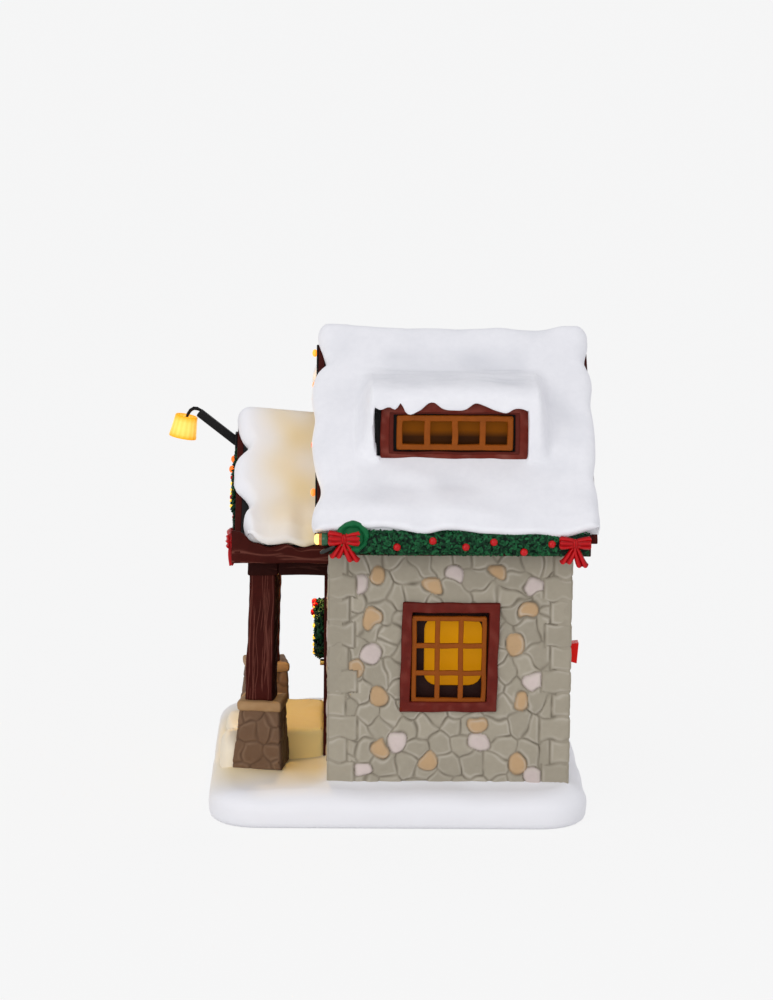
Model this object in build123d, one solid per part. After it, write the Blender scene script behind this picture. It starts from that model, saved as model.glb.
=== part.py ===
from build123d import *
import os
from math import cos, radians, sin, tan

# Lighted village house. Millimetres, +Z up, front towards -Y, ridge along Y.
# The origin is the centre of the base's underside.

# Stone house
house_width = 138.0
house_depth = 94.0
wall_height = 105.0
wall_thickness = 6.0
roof_pitch = 39.7

# Stone relief of the walls: dressed corner blocks and the rounded stones that stand out between them
course_height = 9.3
corner_block_long = 10.8
corner_block_short = 7.4
corner_joint = 0.8
stone_proud = 0.6
stone_seat = 1.0
stone_diameter = 7.0
stone_round = 0.4
stone_pitch = 15.0
stone_margin = 5.0

# Rounded stones of a side wall: places along the wall from its middle, and heights over the ground
side_stones = [(-28.5, 84), (-6.5, 80), (18.5, 86), (30.5, 71), (-30.5, 67), (25.5, 56),
               (-36.5, 47), (-27.5, 36), (28.5, 34), (11.5, 24.5), (-27, 14.5), (-7.5, 10), (27.5, 9),
               (-36.5, 80), (1.5, 85.5), (32.5, 80), (-30.5, 53), (33.5, 42), (-20, 17.5), (11.5, 16),
               (-33.5, 6.5), (33, 4.5)]

# Snow-covered base
base_height = 14.0
base_side_margin = 16.0
base_back_margin = 8.0
base_front_margin = 9.5
base_corner_radius = 20.0
base_foot_round = 3.0
base_top_round = 7.0
base_top_thickness = 4.0
base_rim = 10.0
base_ledge = 4.0

# Main roof
roof_board = 3.5
roof_snow_depth = 5.2
roof_snow_reach = 1.2
roof_snow_lip = 3.2
roof_snow_round = 1.8
eave_overhang = 8.5
front_overhang = 5.0
back_overhang = 9.0
barge_thickness = 2.5
barge_depth = 8.0
barge_foot_rise = 5.0
fascia_thickness = 2.0
fascia_drop = 7.0

# Dormers
dormer_width = 62.0
dormer_front = 52.5
dormer_rise = 26.0
dormer_fall = 6.0
dormer_wall = 2.5
dormer_offset = 1.3
dormer_frame_width = 57.7
dormer_frame_thickness = 2.5
dormer_frame_side = 6.1
dormer_frame_rail = 3.8
dormer_frame_top_gap = 1.0
dormer_frame_drop = 0.8
dormer_cap_depth = 5.6
dormer_cap_reach = 3.0
dormer_panes = 4

# Side windows
window_width = 38.0
window_height = 43.5
window_sill = 30.0
window_bar = 4.0
window_proud = 2.0
window_sleeve = 1.8
window_flange = 1.2
window_glow_width = 25.2
window_glow_height = 25.5
window_glow_round = 4.5
window_glow_offset = 1.1
window_panes = 3

# Window grids and panes
grid_bar = 2.0
grid_thickness = 1.6
grid_setback = 1.3
pane_thickness = 1.0
pane_lap = 2.5

# Eave garlands with berries and bows
garland_thickness = 3.5
garland_height = 7.4
garland_end_gap = 1.2
garland_bevel = 1.0
berry_diameter = 3.0
berry_count = 6
bow_inset = 8.0

# Ribbon bows
bow_width = 12.8
bow_loop_height = 4.0
bow_loop_lift = 0.8
bow_loop_tilt = 14.0
bow_loop_thickness = 2.1
bow_knot_width = 2.8
bow_knot_height = 3.0
bow_knot_thickness = 2.6
bow_knot_round = 0.8
bow_tail_width = 1.7
bow_tail_reach = 5.6
bow_tail_drop = 6.1
bow_tail_thickness = 1.2

# Front gable lights
light_count = 4
light_step = 19.0
light_socket_diameter = 4.0
light_socket_length = 0.8
light_bulb_diameter = 3.2
light_bulb_length = 1.8
corner_light_diameter = 4.8
corner_socket_length = 1.6
corner_bulb_length = 3.0
light_wire_diameter = 0.8
light_wire_inset = 1.2
light_wire_bend = 2.0

# Porch
porch_depth = 37.5
porch_half_width = 52.0
porch_clear_height = 78.0
porch_beam_height = 7.0
porch_ceiling_thickness = 2.0
porch_heel = 1.4
porch_board = 2.5
porch_snow_depth = 4.0
porch_snow_reach = 1.2
porch_snow_lip = 2.6
porch_snow_round = 1.3
porch_fascia_thickness = 2.5
porch_barge_depth = 9.0
porch_gable_thickness = 3.0
porch_garland_width = 5.0
porch_garland_thickness = 2.2
porch_bow_inset = 1.3
porch_bow_rise = 1.6
post_spacing = 70.0
post_setback = 11.2
post_size = 12.0
post_edge = 1.0
pier_height = 23.5
pier_top_size = 16.3
pier_foot_size = 20.4
pier_cap_size = 17.2
pier_cap_height = 3.5
pier_cap_edge = 0.9
slab_half_width = 27.3
slab_height = 12.0
step_half_width = 42.0
step_front_gap = 4.0
step_depth = 6.0
stair_half_width = 16.0
stair_count = 3

# Front door, its timber facing and its wreath
facing_thickness = 2.0
door_width = 26.0
door_height = 56.0
door_thickness = 3.0
door_recess = 1.0
knob_diameter = 2.6
knob_rise = 23.5
wreath_diameter = 24.4
wreath_ring = 5.8
wreath_rise = 36.0
wreath_flat = 0.5
wreath_bow_share = 0.75

# Sign lamp and sign board
sign_height = 13.0
sign_side_gap = 1.0
sign_thickness = 2.0
sign_rise = 4.5
arm_size = 3.3
arm_length = 20.0
arm_angle = 37.5
arm_plate_size = 8.0
arm_plate_thickness = 1.2
shade_top_diameter = 8.8
shade_mouth_diameter = 11.4
shade_height = 9.0
shade_wall = 0.7
shade_tilt = 10.6
shade_reach = 5.0
shade_drop = 1.3
arm_drop = 6.0
collar_diameter = 5.0
collar_height = 2.2
neck_height = 1.8

# Switch on the back wall
switch_offset = 42.0
switch_rise = 48.5
switch_bezel_height = 13.0
switch_bezel_width = 9.0
switch_bezel_thickness = 1.8
switch_body_depth = 11.0
switch_body_inset = 0.9
rocker_height = 8.4
rocker_width = 6.0
rocker_proud = 4.9
rocker_root = 2.6
rocker_root_height = 6.0
rocker_tilt = 4.5
rocker_pin_diameter = 1.4
rocker_pin_reach = 0.7

# Base plate, battery box and lighting inside
plate_thickness = 2.4
screw_diameter = 2.6
screw_head_diameter = 5.2
screw_head_height = 1.4
screw_length = 8.0
boss_diameter = 8.0
boss_inset = 10.0
cell_diameter = 14.5
cell_length = 49.5
cell_nub_diameter = 5.5
cell_nub_length = 1.0
cell_pitch = 15.2
cell_count = 3
spring_length = 3.5
spring_diameter = 7.0
contact_length = 1.5
box_wall = 1.6
box_back_gap = 1.0
hatch_thickness = 2.0
hatch_recess = 0.3
hatch_barrel_diameter = 3.2
hatch_barrel_half_length = 20.0
hatch_lug_length = 4.0
hatch_pin_diameter = 1.4
hatch_grip = 8.0
led_diameter = 5.0
led_height = 6.0
small_led_diameter = 3.0
small_led_height = 3.4
led_count = 3
led_post_diameter = 7.0
led_board_diameter = 26.0
led_ring_diameter = 16.0
led_board_thickness = 1.6
led_board_rise = 58.0
wire_diameter = 1.4
wire_bend = 4.0

# Clearances
fit_gap = 0.2
run_gap = 0.3

# Places worked out from the sizes above
slope = tan(radians(roof_pitch))
upright = 1 / cos(radians(roof_pitch))
ground = base_height
half_house = house_width / 2
base_width = house_width + 2 * base_side_margin
base_depth = base_front_margin + porch_depth + house_depth + base_back_margin
front_wall = -base_depth / 2 + base_front_margin + porch_depth
back_wall = front_wall + house_depth
middle = (front_wall + back_wall) / 2
porch_front = front_wall - porch_depth
roof_front = front_wall - front_overhang
roof_back = back_wall + back_overhang
eave = half_house + eave_overhang
fascia_face = eave + fascia_thickness
garland_face = fascia_face + garland_thickness
porch_eave = porch_half_width - porch_fascia_thickness
ceiling_under = ground + porch_clear_height + porch_beam_height
ceiling_top = ceiling_under + porch_ceiling_thickness
post_y = porch_front + post_setback
post_x = post_spacing / 2
slab_top = ground + slab_height
dormer_y = middle + dormer_offset
dormer_face = dormer_front + dormer_frame_thickness

parts = {}


def block(x0, x1, y0, y1, z0, z1):
    """Box given by its limits."""
    return Pos((x0 + x1) / 2, (y0 + y1) / 2, (z0 + z1) / 2) * Box(x1 - x0, y1 - y0, z1 - z0)


def prism_y(points, y0, y1):
    """Outline of X and Z points, carried along Y."""
    outline = make_face(Polyline(*[(x, y0, z) for x, z in points], close=True))
    return extrude(outline, amount=y1 - y0, dir=(0, 1, 0))


def prism_x(points, x0, x1):
    """Outline of Y and Z points, carried along X."""
    outline = make_face(Polyline(*[(x0, y, z) for y, z in points], close=True))
    return extrude(outline, amount=x1 - x0, dir=(1, 0, 0))


def both_ways(points):
    """Right half of an outline, run down from the ridge, closed with its mirror image."""
    return points + [(-x, z) for x, z in reversed(points) if x > 0]


def mirrored(shape):
    return mirror(shape, about=Plane.YZ)


def group(shapes):
    """Separate solids held in one node."""
    return Compound([solid for shape in shapes for solid in shape.solids()])


def add_pair(name, shape):
    """A node for each side of the house."""
    parts[f"{name}_right"] = shape
    parts[f"{name}_left"] = mirrored(shape)


def add_twins(name, shape):
    """Both sides of the house in one node."""
    parts[name] = group([shape, mirrored(shape)])


def rod_x(diameter, x0, x1, y, z):
    return Pos((x0 + x1) / 2, y, z) * Rot(0, 90, 0) * Cylinder(diameter / 2, x1 - x0)


def rod_y(diameter, y0, y1, x, z):
    return Pos(x, (y0 + y1) / 2, z) * Rot(90, 0, 0) * Cylinder(diameter / 2, y1 - y0)


def rod_z(diameter, z0, z1, x, y):
    return Pos(x, y, (z0 + z1) / 2) * Cylinder(diameter / 2, z1 - z0)


# Heights of the roof surfaces at a distance from the ridge
def roof_under(x):
    return ground + wall_height + (half_house - x) * slope


def roof_top(x):
    return roof_under(x) + roof_board * upright


def roof_snow_top(x):
    return roof_top(x) + roof_snow_depth * upright


def porch_under(x):
    return ceiling_top + porch_heel + (porch_eave - x) * slope


def porch_top(x):
    return porch_under(x) + porch_board * upright


def porch_snow_top(x):
    return porch_top(x) + porch_snow_depth * upright


def roof_sheet(under, top, half_width, y0, y1):
    """Two slopes meeting at the ridge, cut upright at the eaves."""
    right = [(0, top(0)), (half_width, top(half_width)), (half_width, under(half_width)), (0, under(0))]
    return prism_y(both_ways(right), y0, y1)


def snow_sheet(top, bed, edge, lip, rounding, y0, y1):
    """Snow on both slopes, with a rounded lip that stands out past the eave."""
    tip = edge + lip
    right = [(0, top(0)), (tip, top(tip)), (tip - lip / 8, bed(edge) + lip / 2), (edge, bed(edge)),
             (0, bed(0))]
    sheet = prism_y(both_ways(right), y0, y1)
    lips = sheet.edges().filter_by(Axis.Y).sort_by(lambda e: abs(e.center().X))[-2:]
    sheet = fillet(lips, rounding / 2)
    crests = [e for e in sheet.edges() if abs(e.center().Y - (y0 + y1) / 2) > (y1 - y0) / 2 - 0.01]
    crests = [e for e in crests if e.center().Z > top(abs(e.center().X)) - 0.1]
    return fillet(crests, rounding)


def barge_boards(top, depth, edge, foot, y0, y1):
    """Boards along a gable, from the ridge to a level foot at each eave."""
    low = depth * upright
    inner = (top(0) - low - foot) / slope
    right = [(0, top(0)), (edge, top(edge)), (edge, foot), (inner, foot), (0, top(0) - low)]
    return prism_y(both_ways(right), y0, y1)


# Snow-covered base, hollow below, open under the house, with four screw bosses
cavity_width = base_width - 2 * base_rim
cavity_depth = base_depth - 2 * base_rim
boss_x = cavity_width / 2 - boss_inset
boss_y = cavity_depth / 2 - boss_inset
boss_places = [(x, y) for x in (-boss_x, boss_x) for y in (-boss_y, boss_y)]


def make_snow_base():
    body = extrude(RectangleRounded(base_width, base_depth, base_corner_radius), base_height)
    body = fillet(body.edges().group_by(Axis.Z)[-1], base_top_round)
    body = fillet(body.edges().group_by(Axis.Z)[0], base_foot_round)
    cavity_height = base_height - base_top_thickness
    cavity = RectangleRounded(cavity_width, cavity_depth, base_corner_radius - base_rim)
    body -= extrude(cavity, cavity_height)
    reach = wall_thickness + base_ledge
    body -= block(reach - half_house, half_house - reach, front_wall + reach, back_wall - reach,
                  cavity_height - fit_gap, base_height + fit_gap)
    for x, y in boss_places:
        body += rod_z(boss_diameter, plate_thickness, cavity_height, x, y)
        body -= rod_z(screw_diameter + fit_gap, 0, plate_thickness + screw_length, x, y)
    return body


parts["snow_base"] = make_snow_base()


# Base plate with the battery opening, hinge lugs and countersunk screws
bay_half_length = (cell_length + cell_nub_length + spring_length + contact_length) / 2 + fit_gap
bay_width = cell_pitch * cell_count
bay_back = back_wall - wall_thickness - base_ledge - box_back_gap - box_wall
bay_front = bay_back - bay_width
pivot_y = bay_front + run_gap + hatch_barrel_diameter / 2
pivot_z = hatch_recess + hatch_barrel_diameter / 2
lug_start = hatch_barrel_half_length + run_gap
lug_end = lug_start + hatch_lug_length
lug_back = pivot_y + hatch_barrel_diameter / 2


def screw_cone(gap, x, y):
    """Countersunk head, widest at the foot, with a clearance all round."""
    cone = Cone((screw_head_diameter + gap) / 2, (screw_diameter + gap) / 2, screw_head_height)
    return Pos(x, y, screw_head_height / 2) * cone


def make_base_plate():
    corner = base_corner_radius - base_rim - fit_gap
    plate = extrude(RectangleRounded(cavity_width - 2 * fit_gap, cavity_depth - 2 * fit_gap, corner),
                    plate_thickness)
    plate -= block(-bay_half_length, bay_half_length, bay_front, bay_back, 0, plate_thickness)
    for side in (-1, 1):
        ends = sorted((side * lug_start, side * lug_end))
        plate += block(*ends, bay_front - fit_gap, pivot_y, hatch_recess, pivot_z + hatch_barrel_diameter / 2)
        plate += rod_x(hatch_barrel_diameter, *ends, pivot_y, pivot_z)
    plate -= rod_x(hatch_pin_diameter + fit_gap / 2, -lug_end, lug_end, pivot_y, pivot_z)
    for x, y in boss_places:
        plate -= rod_z(screw_diameter + fit_gap, 0, plate_thickness, x, y)
        plate -= screw_cone(fit_gap, x, y)
    return plate


def make_screw(x, y):
    return screw_cone(0, x, y) + rod_z(screw_diameter, 0, screw_length, x, y)


parts["base_plate"] = make_base_plate()
parts["base_plate_screws"] = group([make_screw(x, y) for x, y in boss_places])


# Battery box over the opening, three cells with their springs and contacts
cell_z = plate_thickness + fit_gap + cell_diameter / 2
box_top = plate_thickness + 2 * fit_gap + cell_diameter + box_wall
box_middle = (bay_front + bay_back) / 2


def make_battery_box():
    outer = block(-bay_half_length - box_wall, bay_half_length + box_wall, bay_front - box_wall,
                  bay_back + box_wall, plate_thickness, box_top)
    inner = block(-bay_half_length, bay_half_length, bay_front, bay_back, plate_thickness, box_top - box_wall)
    clear = block(-lug_end - fit_gap, lug_end + fit_gap, bay_front - box_wall, lug_back + fit_gap,
                  plate_thickness, pivot_z + hatch_barrel_diameter / 2 + run_gap)
    return outer - inner - clear


def cell_row(index, length_start, length_end, diameter):
    """Round length along one cell's axis, turned end for end in every second row."""
    y = bay_front + cell_pitch * (index + 0.5)
    rod = rod_x(diameter, length_start, length_end, y, cell_z)
    return mirrored(rod) if index % 2 else rod


cell_start = spring_length - bay_half_length + fit_gap
cell_end = cell_start + cell_length
nub_end = cell_end + cell_nub_length
cells = []
springs = []
contacts = []
for index in range(cell_count):
    can = cell_row(index, cell_start, cell_end, cell_diameter)
    cells.append(can + cell_row(index, cell_end, nub_end, cell_nub_diameter))
    springs.append(cell_row(index, -bay_half_length, cell_start, spring_diameter))
    contacts.append(cell_row(index, nub_end, bay_half_length, spring_diameter))
parts["battery_box"] = make_battery_box()
parts["battery_cells"] = group(cells)
parts["battery_springs"] = group(springs)
parts["battery_contacts"] = group(contacts)


# Battery hatch in the base plate, with a barrel on a steel pin
def make_battery_hatch():
    top = hatch_recess + hatch_thickness
    leaf = block(run_gap - bay_half_length, bay_half_length - run_gap, lug_back + run_gap, bay_back - run_gap,
                 hatch_recess, top)
    leaf += block(-hatch_barrel_half_length, hatch_barrel_half_length, pivot_y, lug_back + run_gap,
                  hatch_recess, top)
    leaf += rod_x(hatch_barrel_diameter, -hatch_barrel_half_length, hatch_barrel_half_length,
                  pivot_y, pivot_z)
    leaf -= rod_x(hatch_pin_diameter + run_gap, -hatch_barrel_half_length, hatch_barrel_half_length,
                  pivot_y, pivot_z)
    grip = block(-hatch_grip / 2, hatch_grip / 2, bay_back - hatch_grip / 2, bay_back,
                 hatch_recess, hatch_recess + hatch_thickness / 2)
    return leaf - grip


parts["battery_hatch"] = make_battery_hatch()
parts["battery_hatch_pin"] = rod_x(hatch_pin_diameter, -lug_end, lug_end, pivot_y, pivot_z)


# Stone walls and gables in one shell, with openings for windows, door, wires and switch
window_y = middle
window_foot = ground + window_sill
window_inner_width = window_width - 2 * window_bar
window_inner_height = window_height - 2 * window_bar
sleeve_width = window_inner_width + 2 * window_sleeve
sleeve_height = window_inner_height + 2 * window_sleeve
window_z = window_foot + window_height / 2
switch_z = ground + switch_rise
switch_body_height = switch_bezel_height - 2 * switch_body_inset
switch_body_width = switch_bezel_width - 2 * switch_body_inset
wire_hole_z = ceiling_top + porch_heel + wire_bend
wire_hole_half = wire_diameter * 2


def centred(axis_a, axis_b, width, height, depth0, depth1):
    """Box on a side wall: Y centre, Z centre, width in Y, height in Z, between two X planes."""
    return block(depth0, depth1, axis_a - width / 2, axis_a + width / 2,
                 axis_b - height / 2, axis_b + height / 2)


def make_corner_block(course, along, other, side, end):
    """One dressed block wrapped round a corner of the house, given by its lengths on the two walls."""
    x, y = half_house, house_depth / 2
    points = [(x - along, y + stone_proud), (x + stone_proud, y + stone_proud), (x + stone_proud, y - other),
              (x - stone_seat, y - other), (x - stone_seat, y - stone_seat), (x - along, y - stone_seat)]
    foot = ground + course * course_height
    face = make_face(Polyline(*[(side * a, middle + end * b, foot) for a, b in points], close=True))
    return extrude(face, amount=course_height - corner_joint, dir=(0, 0, 1))


def make_corner_blocks():
    """Blocks of all four corners, long and short in turn, in courses up to the eave."""
    lengths = (corner_block_long, corner_block_short)
    blocks = []
    for course in range(int(wall_height / course_height)):
        along, other = lengths if course % 2 else lengths[::-1]
        blocks += [make_corner_block(course, along, other, side, end) for side in (-1, 1) for end in (-1, 1)]
    return blocks


def make_stone(place):
    """Low rounded stone that stands out of the wall along the place's own Z."""
    stone = extrude(place * Circle(stone_diameter / 2), stone_proud + stone_seat, dir=place.z_dir)
    rim = max(stone.edges(), key=lambda edge: (edge.center() - place.origin).dot(place.z_dir))
    return fillet(rim, stone_round)


def make_side_stones():
    stones = []
    for side in (-1, 1):
        for along, rise in side_stones:
            origin = (side * (half_house - stone_seat), middle + along, ground + rise)
            stones.append(make_stone(Plane(origin=origin, x_dir=(0, 1, 0), z_dir=(side, 0, 0))))
    return stones


def gable_stone_is_free(end, x, z):
    """Whether a gable stone keeps clear of the roof, the corner blocks, the porch or the switch."""
    clear = stone_diameter / 2 + stone_margin
    under_roof = z + clear * upright < roof_under(abs(x))
    inside_corners = z > roof_under(half_house) or abs(x) + clear < half_house - corner_block_short
    if end > 0:
        away = max(abs(x - switch_offset) - switch_bezel_width / 2,
                   abs(z - switch_z) - switch_bezel_height / 2)
    else:
        beside_porch = abs(x) - post_x + post_size / 2 if z < ground + porch_clear_height - clear else 0
        above_porch = z - porch_snow_top(abs(x))
        away = max(beside_porch, above_porch / upright)
    return under_roof and inside_corners and away > clear


def make_gable_stones():
    """Stones of both gable walls in staggered rows."""
    rows = int((roof_under(0) - ground) / stone_pitch)
    columns = int(half_house / stone_pitch) + 1
    stones = []
    for end in (-1, 1):
        y = (front_wall + stone_seat) if end < 0 else (back_wall - stone_seat)
        for row in range(rows):
            z = ground + (row + 0.6) * stone_pitch
            for column in range(-columns, columns + 1):
                x = (column + row % 2 / 2) * stone_pitch
                if gable_stone_is_free(end, x, z):
                    stones.append(make_stone(Plane(origin=(x, y, z), x_dir=(1, 0, 0), z_dir=(0, end, 0))))
    return stones


def make_wall_shell():
    eave_line = [(0, roof_under(0)), (half_house, roof_under(half_house)), (half_house, ground)]
    shell = prism_y(both_ways(eave_line), front_wall, back_wall)
    inside = half_house - wall_thickness
    shell -= block(-inside, inside, front_wall + wall_thickness, back_wall - wall_thickness,
                   ground, roof_under(0))
    for side in (-1, 1):
        planes = sorted((side * half_house, side * inside))
        shell -= centred(window_y, window_z, sleeve_width + fit_gap, sleeve_height + fit_gap, *planes)
    shell -= block(-door_width / 2, door_width / 2, front_wall, front_wall + wall_thickness,
                   slab_top, slab_top + door_height)
    shell -= block(-wire_hole_half, wire_hole_half, front_wall, front_wall + wall_thickness,
                   wire_hole_z - wire_hole_half, wire_hole_z + wire_hole_half)
    switch_half_width = switch_body_width / 2 + fit_gap
    switch_half_height = switch_body_height / 2 + fit_gap
    shell -= block(switch_offset - switch_half_width, switch_offset + switch_half_width,
                   back_wall - wall_thickness, back_wall,
                   switch_z - switch_half_height, switch_z + switch_half_height)
    return shell + make_corner_blocks() + make_side_stones() + make_gable_stones()


parts["wall_shell"] = make_wall_shell()


# Side windows: a frame with sleeve and flange, a glued-in grid and a glowing pane behind
def make_grid(columns, rows, width, height):
    """Flat grid with equal openings, drawn in its own plane."""
    pitch_x = (width - grid_bar) / columns
    pitch_y = (height - grid_bar) / rows
    sheet = Rectangle(width, height)
    for column in range(columns):
        for row in range(rows):
            x = (column + 0.5) * pitch_x - (width - grid_bar) / 2
            y = (row + 0.5) * pitch_y - (height - grid_bar) / 2
            sheet -= Pos(x, y) * Rectangle(pitch_x - grid_bar, pitch_y - grid_bar)
    return sheet


def side_plane(x, y, z):
    """Plane on the right-hand side, drawn with Y across and Z up, facing out along X."""
    return Plane(origin=(x, y, z), x_dir=(0, 1, 0), z_dir=(1, 0, 0))


def make_window_frame():
    inside = half_house - wall_thickness
    frame = centred(window_y, window_z, window_width, window_height, half_house, half_house + window_proud)
    frame += centred(window_y, window_z, sleeve_width, sleeve_height, inside, half_house)
    frame -= centred(window_y, window_z, window_inner_width, window_inner_height,
                     inside + window_flange, half_house + window_proud)
    glow = RectangleRounded(window_glow_width, window_glow_height, window_glow_round)
    place = side_plane(inside, window_y + window_glow_offset, window_z + window_glow_offset / 2)
    frame -= extrude(place * glow, window_flange)
    return frame


def make_window_grid():
    sheet = make_grid(window_panes, window_panes, window_inner_width - 2 * fit_gap,
                      window_inner_height - 2 * fit_gap)
    place = side_plane(half_house + window_proud - grid_setback - grid_thickness, window_y, window_z)
    return extrude(place * sheet, grid_thickness)


def make_window_pane():
    inside = half_house - wall_thickness
    return centred(window_y, window_z, sleeve_width + pane_lap, sleeve_height + pane_lap,
                   inside - pane_thickness, inside)


add_pair("window_frame", make_window_frame())
add_pair("window_grid", make_window_grid())
add_twins("window_panes", make_window_pane())


# Dormers: a hollow wedge on the roof boards, with frame, grid and pane
dormer_drop = tan(radians(dormer_fall))
dormer_foot = roof_top(dormer_front)
dormer_head = dormer_foot + dormer_rise
dormer_back = (roof_top(0) - dormer_head - dormer_front * dormer_drop) / (slope - dormer_drop)
dormer_frame_foot = roof_snow_top(dormer_face) - dormer_frame_drop
dormer_frame_head = dormer_head - dormer_frame_top_gap
dormer_grid_width = dormer_frame_width - 2 * dormer_frame_side
dormer_grid_height = dormer_frame_head - dormer_frame_foot - 2 * dormer_frame_rail
dormer_z = (dormer_frame_foot + dormer_frame_head) / 2
dormer_half = dormer_width / 2


def dormer_top(x):
    return dormer_head + (dormer_front - x) * dormer_drop


def dormer_wedge():
    points = [(dormer_front, dormer_foot), (dormer_front, dormer_head), (dormer_back, roof_top(dormer_back))]
    return prism_y(points, dormer_y - dormer_half, dormer_y + dormer_half)


def dormer_room():
    """Space inside the dormer, carried down through the roof boards."""
    x0 = dormer_back + dormer_wall / (slope - dormer_drop)
    x1 = dormer_front - dormer_wall
    points = [(x0, roof_under(x0) - roof_board), (x0, roof_top(x0)), (x1, dormer_top(x1) - dormer_wall),
              (x1, roof_under(x1) - roof_board)]
    return prism_y(points, dormer_y - dormer_half + dormer_wall, dormer_y + dormer_half - dormer_wall)


def make_dormer():
    opening = centred(dormer_y, dormer_z, dormer_grid_width - grid_bar, dormer_grid_height - grid_bar,
                      dormer_front - dormer_wall, dormer_front)
    return dormer_wedge() - dormer_room() - opening


def dormer_frame_block():
    half = dormer_frame_width / 2
    return block(dormer_front, dormer_face, dormer_y - half, dormer_y + half,
                 dormer_frame_foot, dormer_frame_head)


def make_dormer_frame():
    return dormer_frame_block() - centred(dormer_y, dormer_z, dormer_grid_width, dormer_grid_height,
                                          dormer_front, dormer_face)


def make_dormer_grid():
    sheet = make_grid(dormer_panes, 1, dormer_grid_width - 2 * fit_gap, dormer_grid_height - 2 * fit_gap)
    return extrude(side_plane(dormer_front, dormer_y, dormer_z) * sheet, grid_thickness)


def make_dormer_pane():
    inner = dormer_front - dormer_wall
    return centred(dormer_y, dormer_z, dormer_grid_width + pane_lap, dormer_grid_height - fit_gap,
                   inner - pane_thickness, inner)


add_pair("dormer", make_dormer())
add_pair("dormer_frame", make_dormer_frame())
add_pair("dormer_grid", make_dormer_grid())
add_twins("dormer_panes", make_dormer_pane())


# Main roof: boards with the dormer openings, barge boards, fascias and the snow
roof_y0 = roof_front + barge_thickness
roof_y1 = roof_back - barge_thickness
fascia_foot = roof_top(fascia_face) - fascia_drop
barge_foot = fascia_foot + barge_foot_rise


def make_roof_boards():
    room = dormer_room()
    return roof_sheet(roof_under, roof_top, eave, roof_y0, roof_y1) - room - mirrored(room)


def make_eave_fascia():
    points = [(eave, fascia_foot), (fascia_face, fascia_foot), (fascia_face, roof_top(fascia_face)),
              (eave, roof_top(eave))]
    return prism_y(points, roof_y0, roof_y1)


def dormer_cap():
    """Snow on the dormer's own roof, run back into the snow of the main slope."""
    front = dormer_face + dormer_cap_reach
    depth = dormer_cap_depth
    back = dormer_back
    points = [(front, dormer_head), (front, dormer_head + depth / 2), (dormer_front, dormer_head + depth),
              (back, roof_snow_top(back)), (back, roof_top(back))]
    reach = dormer_half + dormer_cap_reach
    return prism_y(points, dormer_y - reach, dormer_y + reach)


def make_roof_snow():
    snow = snow_sheet(roof_snow_top, roof_top, fascia_face, roof_snow_lip, roof_snow_round,
                      roof_front - roof_snow_reach, roof_back + roof_snow_reach)
    for turn in (lambda shape: shape, mirrored):
        snow = snow + turn(dormer_cap()) - turn(dormer_wedge()) - turn(dormer_frame_block())
    return snow


parts["roof_boards"] = make_roof_boards()
add_twins("eave_fascias", make_eave_fascia())
parts["front_barge_boards"] = barge_boards(roof_top, barge_depth, fascia_face, barge_foot,
                                           roof_front, roof_y0)
parts["back_barge_boards"] = barge_boards(roof_top, barge_depth, fascia_face, barge_foot,
                                          roof_y1, roof_back)
parts["roof_snow"] = make_roof_snow()


# Garlands on the eave fascias, with berries and ribbon bows
garland_y0 = roof_front + garland_end_gap + barge_thickness
garland_y1 = roof_back - garland_end_gap - barge_thickness
garland_top = roof_top(fascia_face) - run_gap
garland_foot = garland_top - garland_height


def make_garland():
    points = [(fascia_face, garland_foot), (garland_face - garland_bevel, garland_foot),
              (garland_face, garland_foot + garland_bevel), (garland_face, garland_top - garland_bevel),
              (garland_face - garland_bevel, garland_top), (fascia_face, garland_top)]
    return prism_y(points, garland_y0, garland_y1)


def make_berry(y, z):
    """Bead with a flat seat on the garland."""
    bead = Pos(garland_face + berry_diameter / 4, y, z) * Sphere(berry_diameter / 2)
    seat = garland_face - berry_diameter
    return bead - block(seat, garland_face, y - berry_diameter, y + berry_diameter,
                        z - berry_diameter, z + berry_diameter)


def make_bow(place, share=1.0):
    """Ribbon bow: two loops, a knot and two forked tails, drawn on a plane that faces outwards."""
    loop = scale(Ellipse(bow_width / 4, bow_loop_height / 2), share)
    loops = [Pos(side * share * bow_width / 4, share * bow_loop_lift) * Rot(0, 0, side * bow_loop_tilt) * loop
             for side in (-1, 1)]
    width = bow_tail_width
    tail = Polygon((0, 0), (width, 0), (bow_tail_reach, width / 2 - bow_tail_drop),
                   (bow_tail_reach - width * 3 / 4, width * 3 / 5 - bow_tail_drop),
                   (bow_tail_reach - width * 3 / 2, -bow_tail_drop), align=None)
    tail = scale(tail, share)
    knot = scale(RectangleRounded(bow_knot_width, bow_knot_height, bow_knot_round), share)
    bow = extrude(place * (loops[0] + loops[1]), bow_loop_thickness * share, dir=place.z_dir)
    for ribbon in (tail, mirror(tail, about=Plane.YZ)):
        bow += extrude(place * ribbon, bow_tail_thickness * share, dir=place.z_dir)
    return bow + extrude(place * knot, bow_knot_thickness * share, dir=place.z_dir)


garland_middle = (garland_foot + garland_top) / 2
berry_start = garland_y0 + bow_inset + bow_width
berry_step = (garland_y1 - bow_inset - bow_width - berry_start) / (berry_count - 1)
berries = []
bows = []
for index in range(berry_count):
    lift = berry_diameter / 3 if index % 2 else -berry_diameter / 3
    berry = make_berry(berry_start + index * berry_step, garland_middle + lift)
    berries += [berry, mirrored(berry)]
for y in (garland_y0 + bow_inset, garland_y1 - bow_inset):
    bow = make_bow(side_plane(garland_face, y, garland_middle))
    bows += [bow, mirrored(bow)]
add_pair("garland", make_garland())
parts["garland_berries"] = group(berries)


# Small bulbs in green sockets along the front gable, with their wire
corner_light_x = fascia_face + corner_light_diameter / 2
corner_light_z = roof_top(fascia_face) - run_gap - corner_light_diameter / 2


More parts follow.
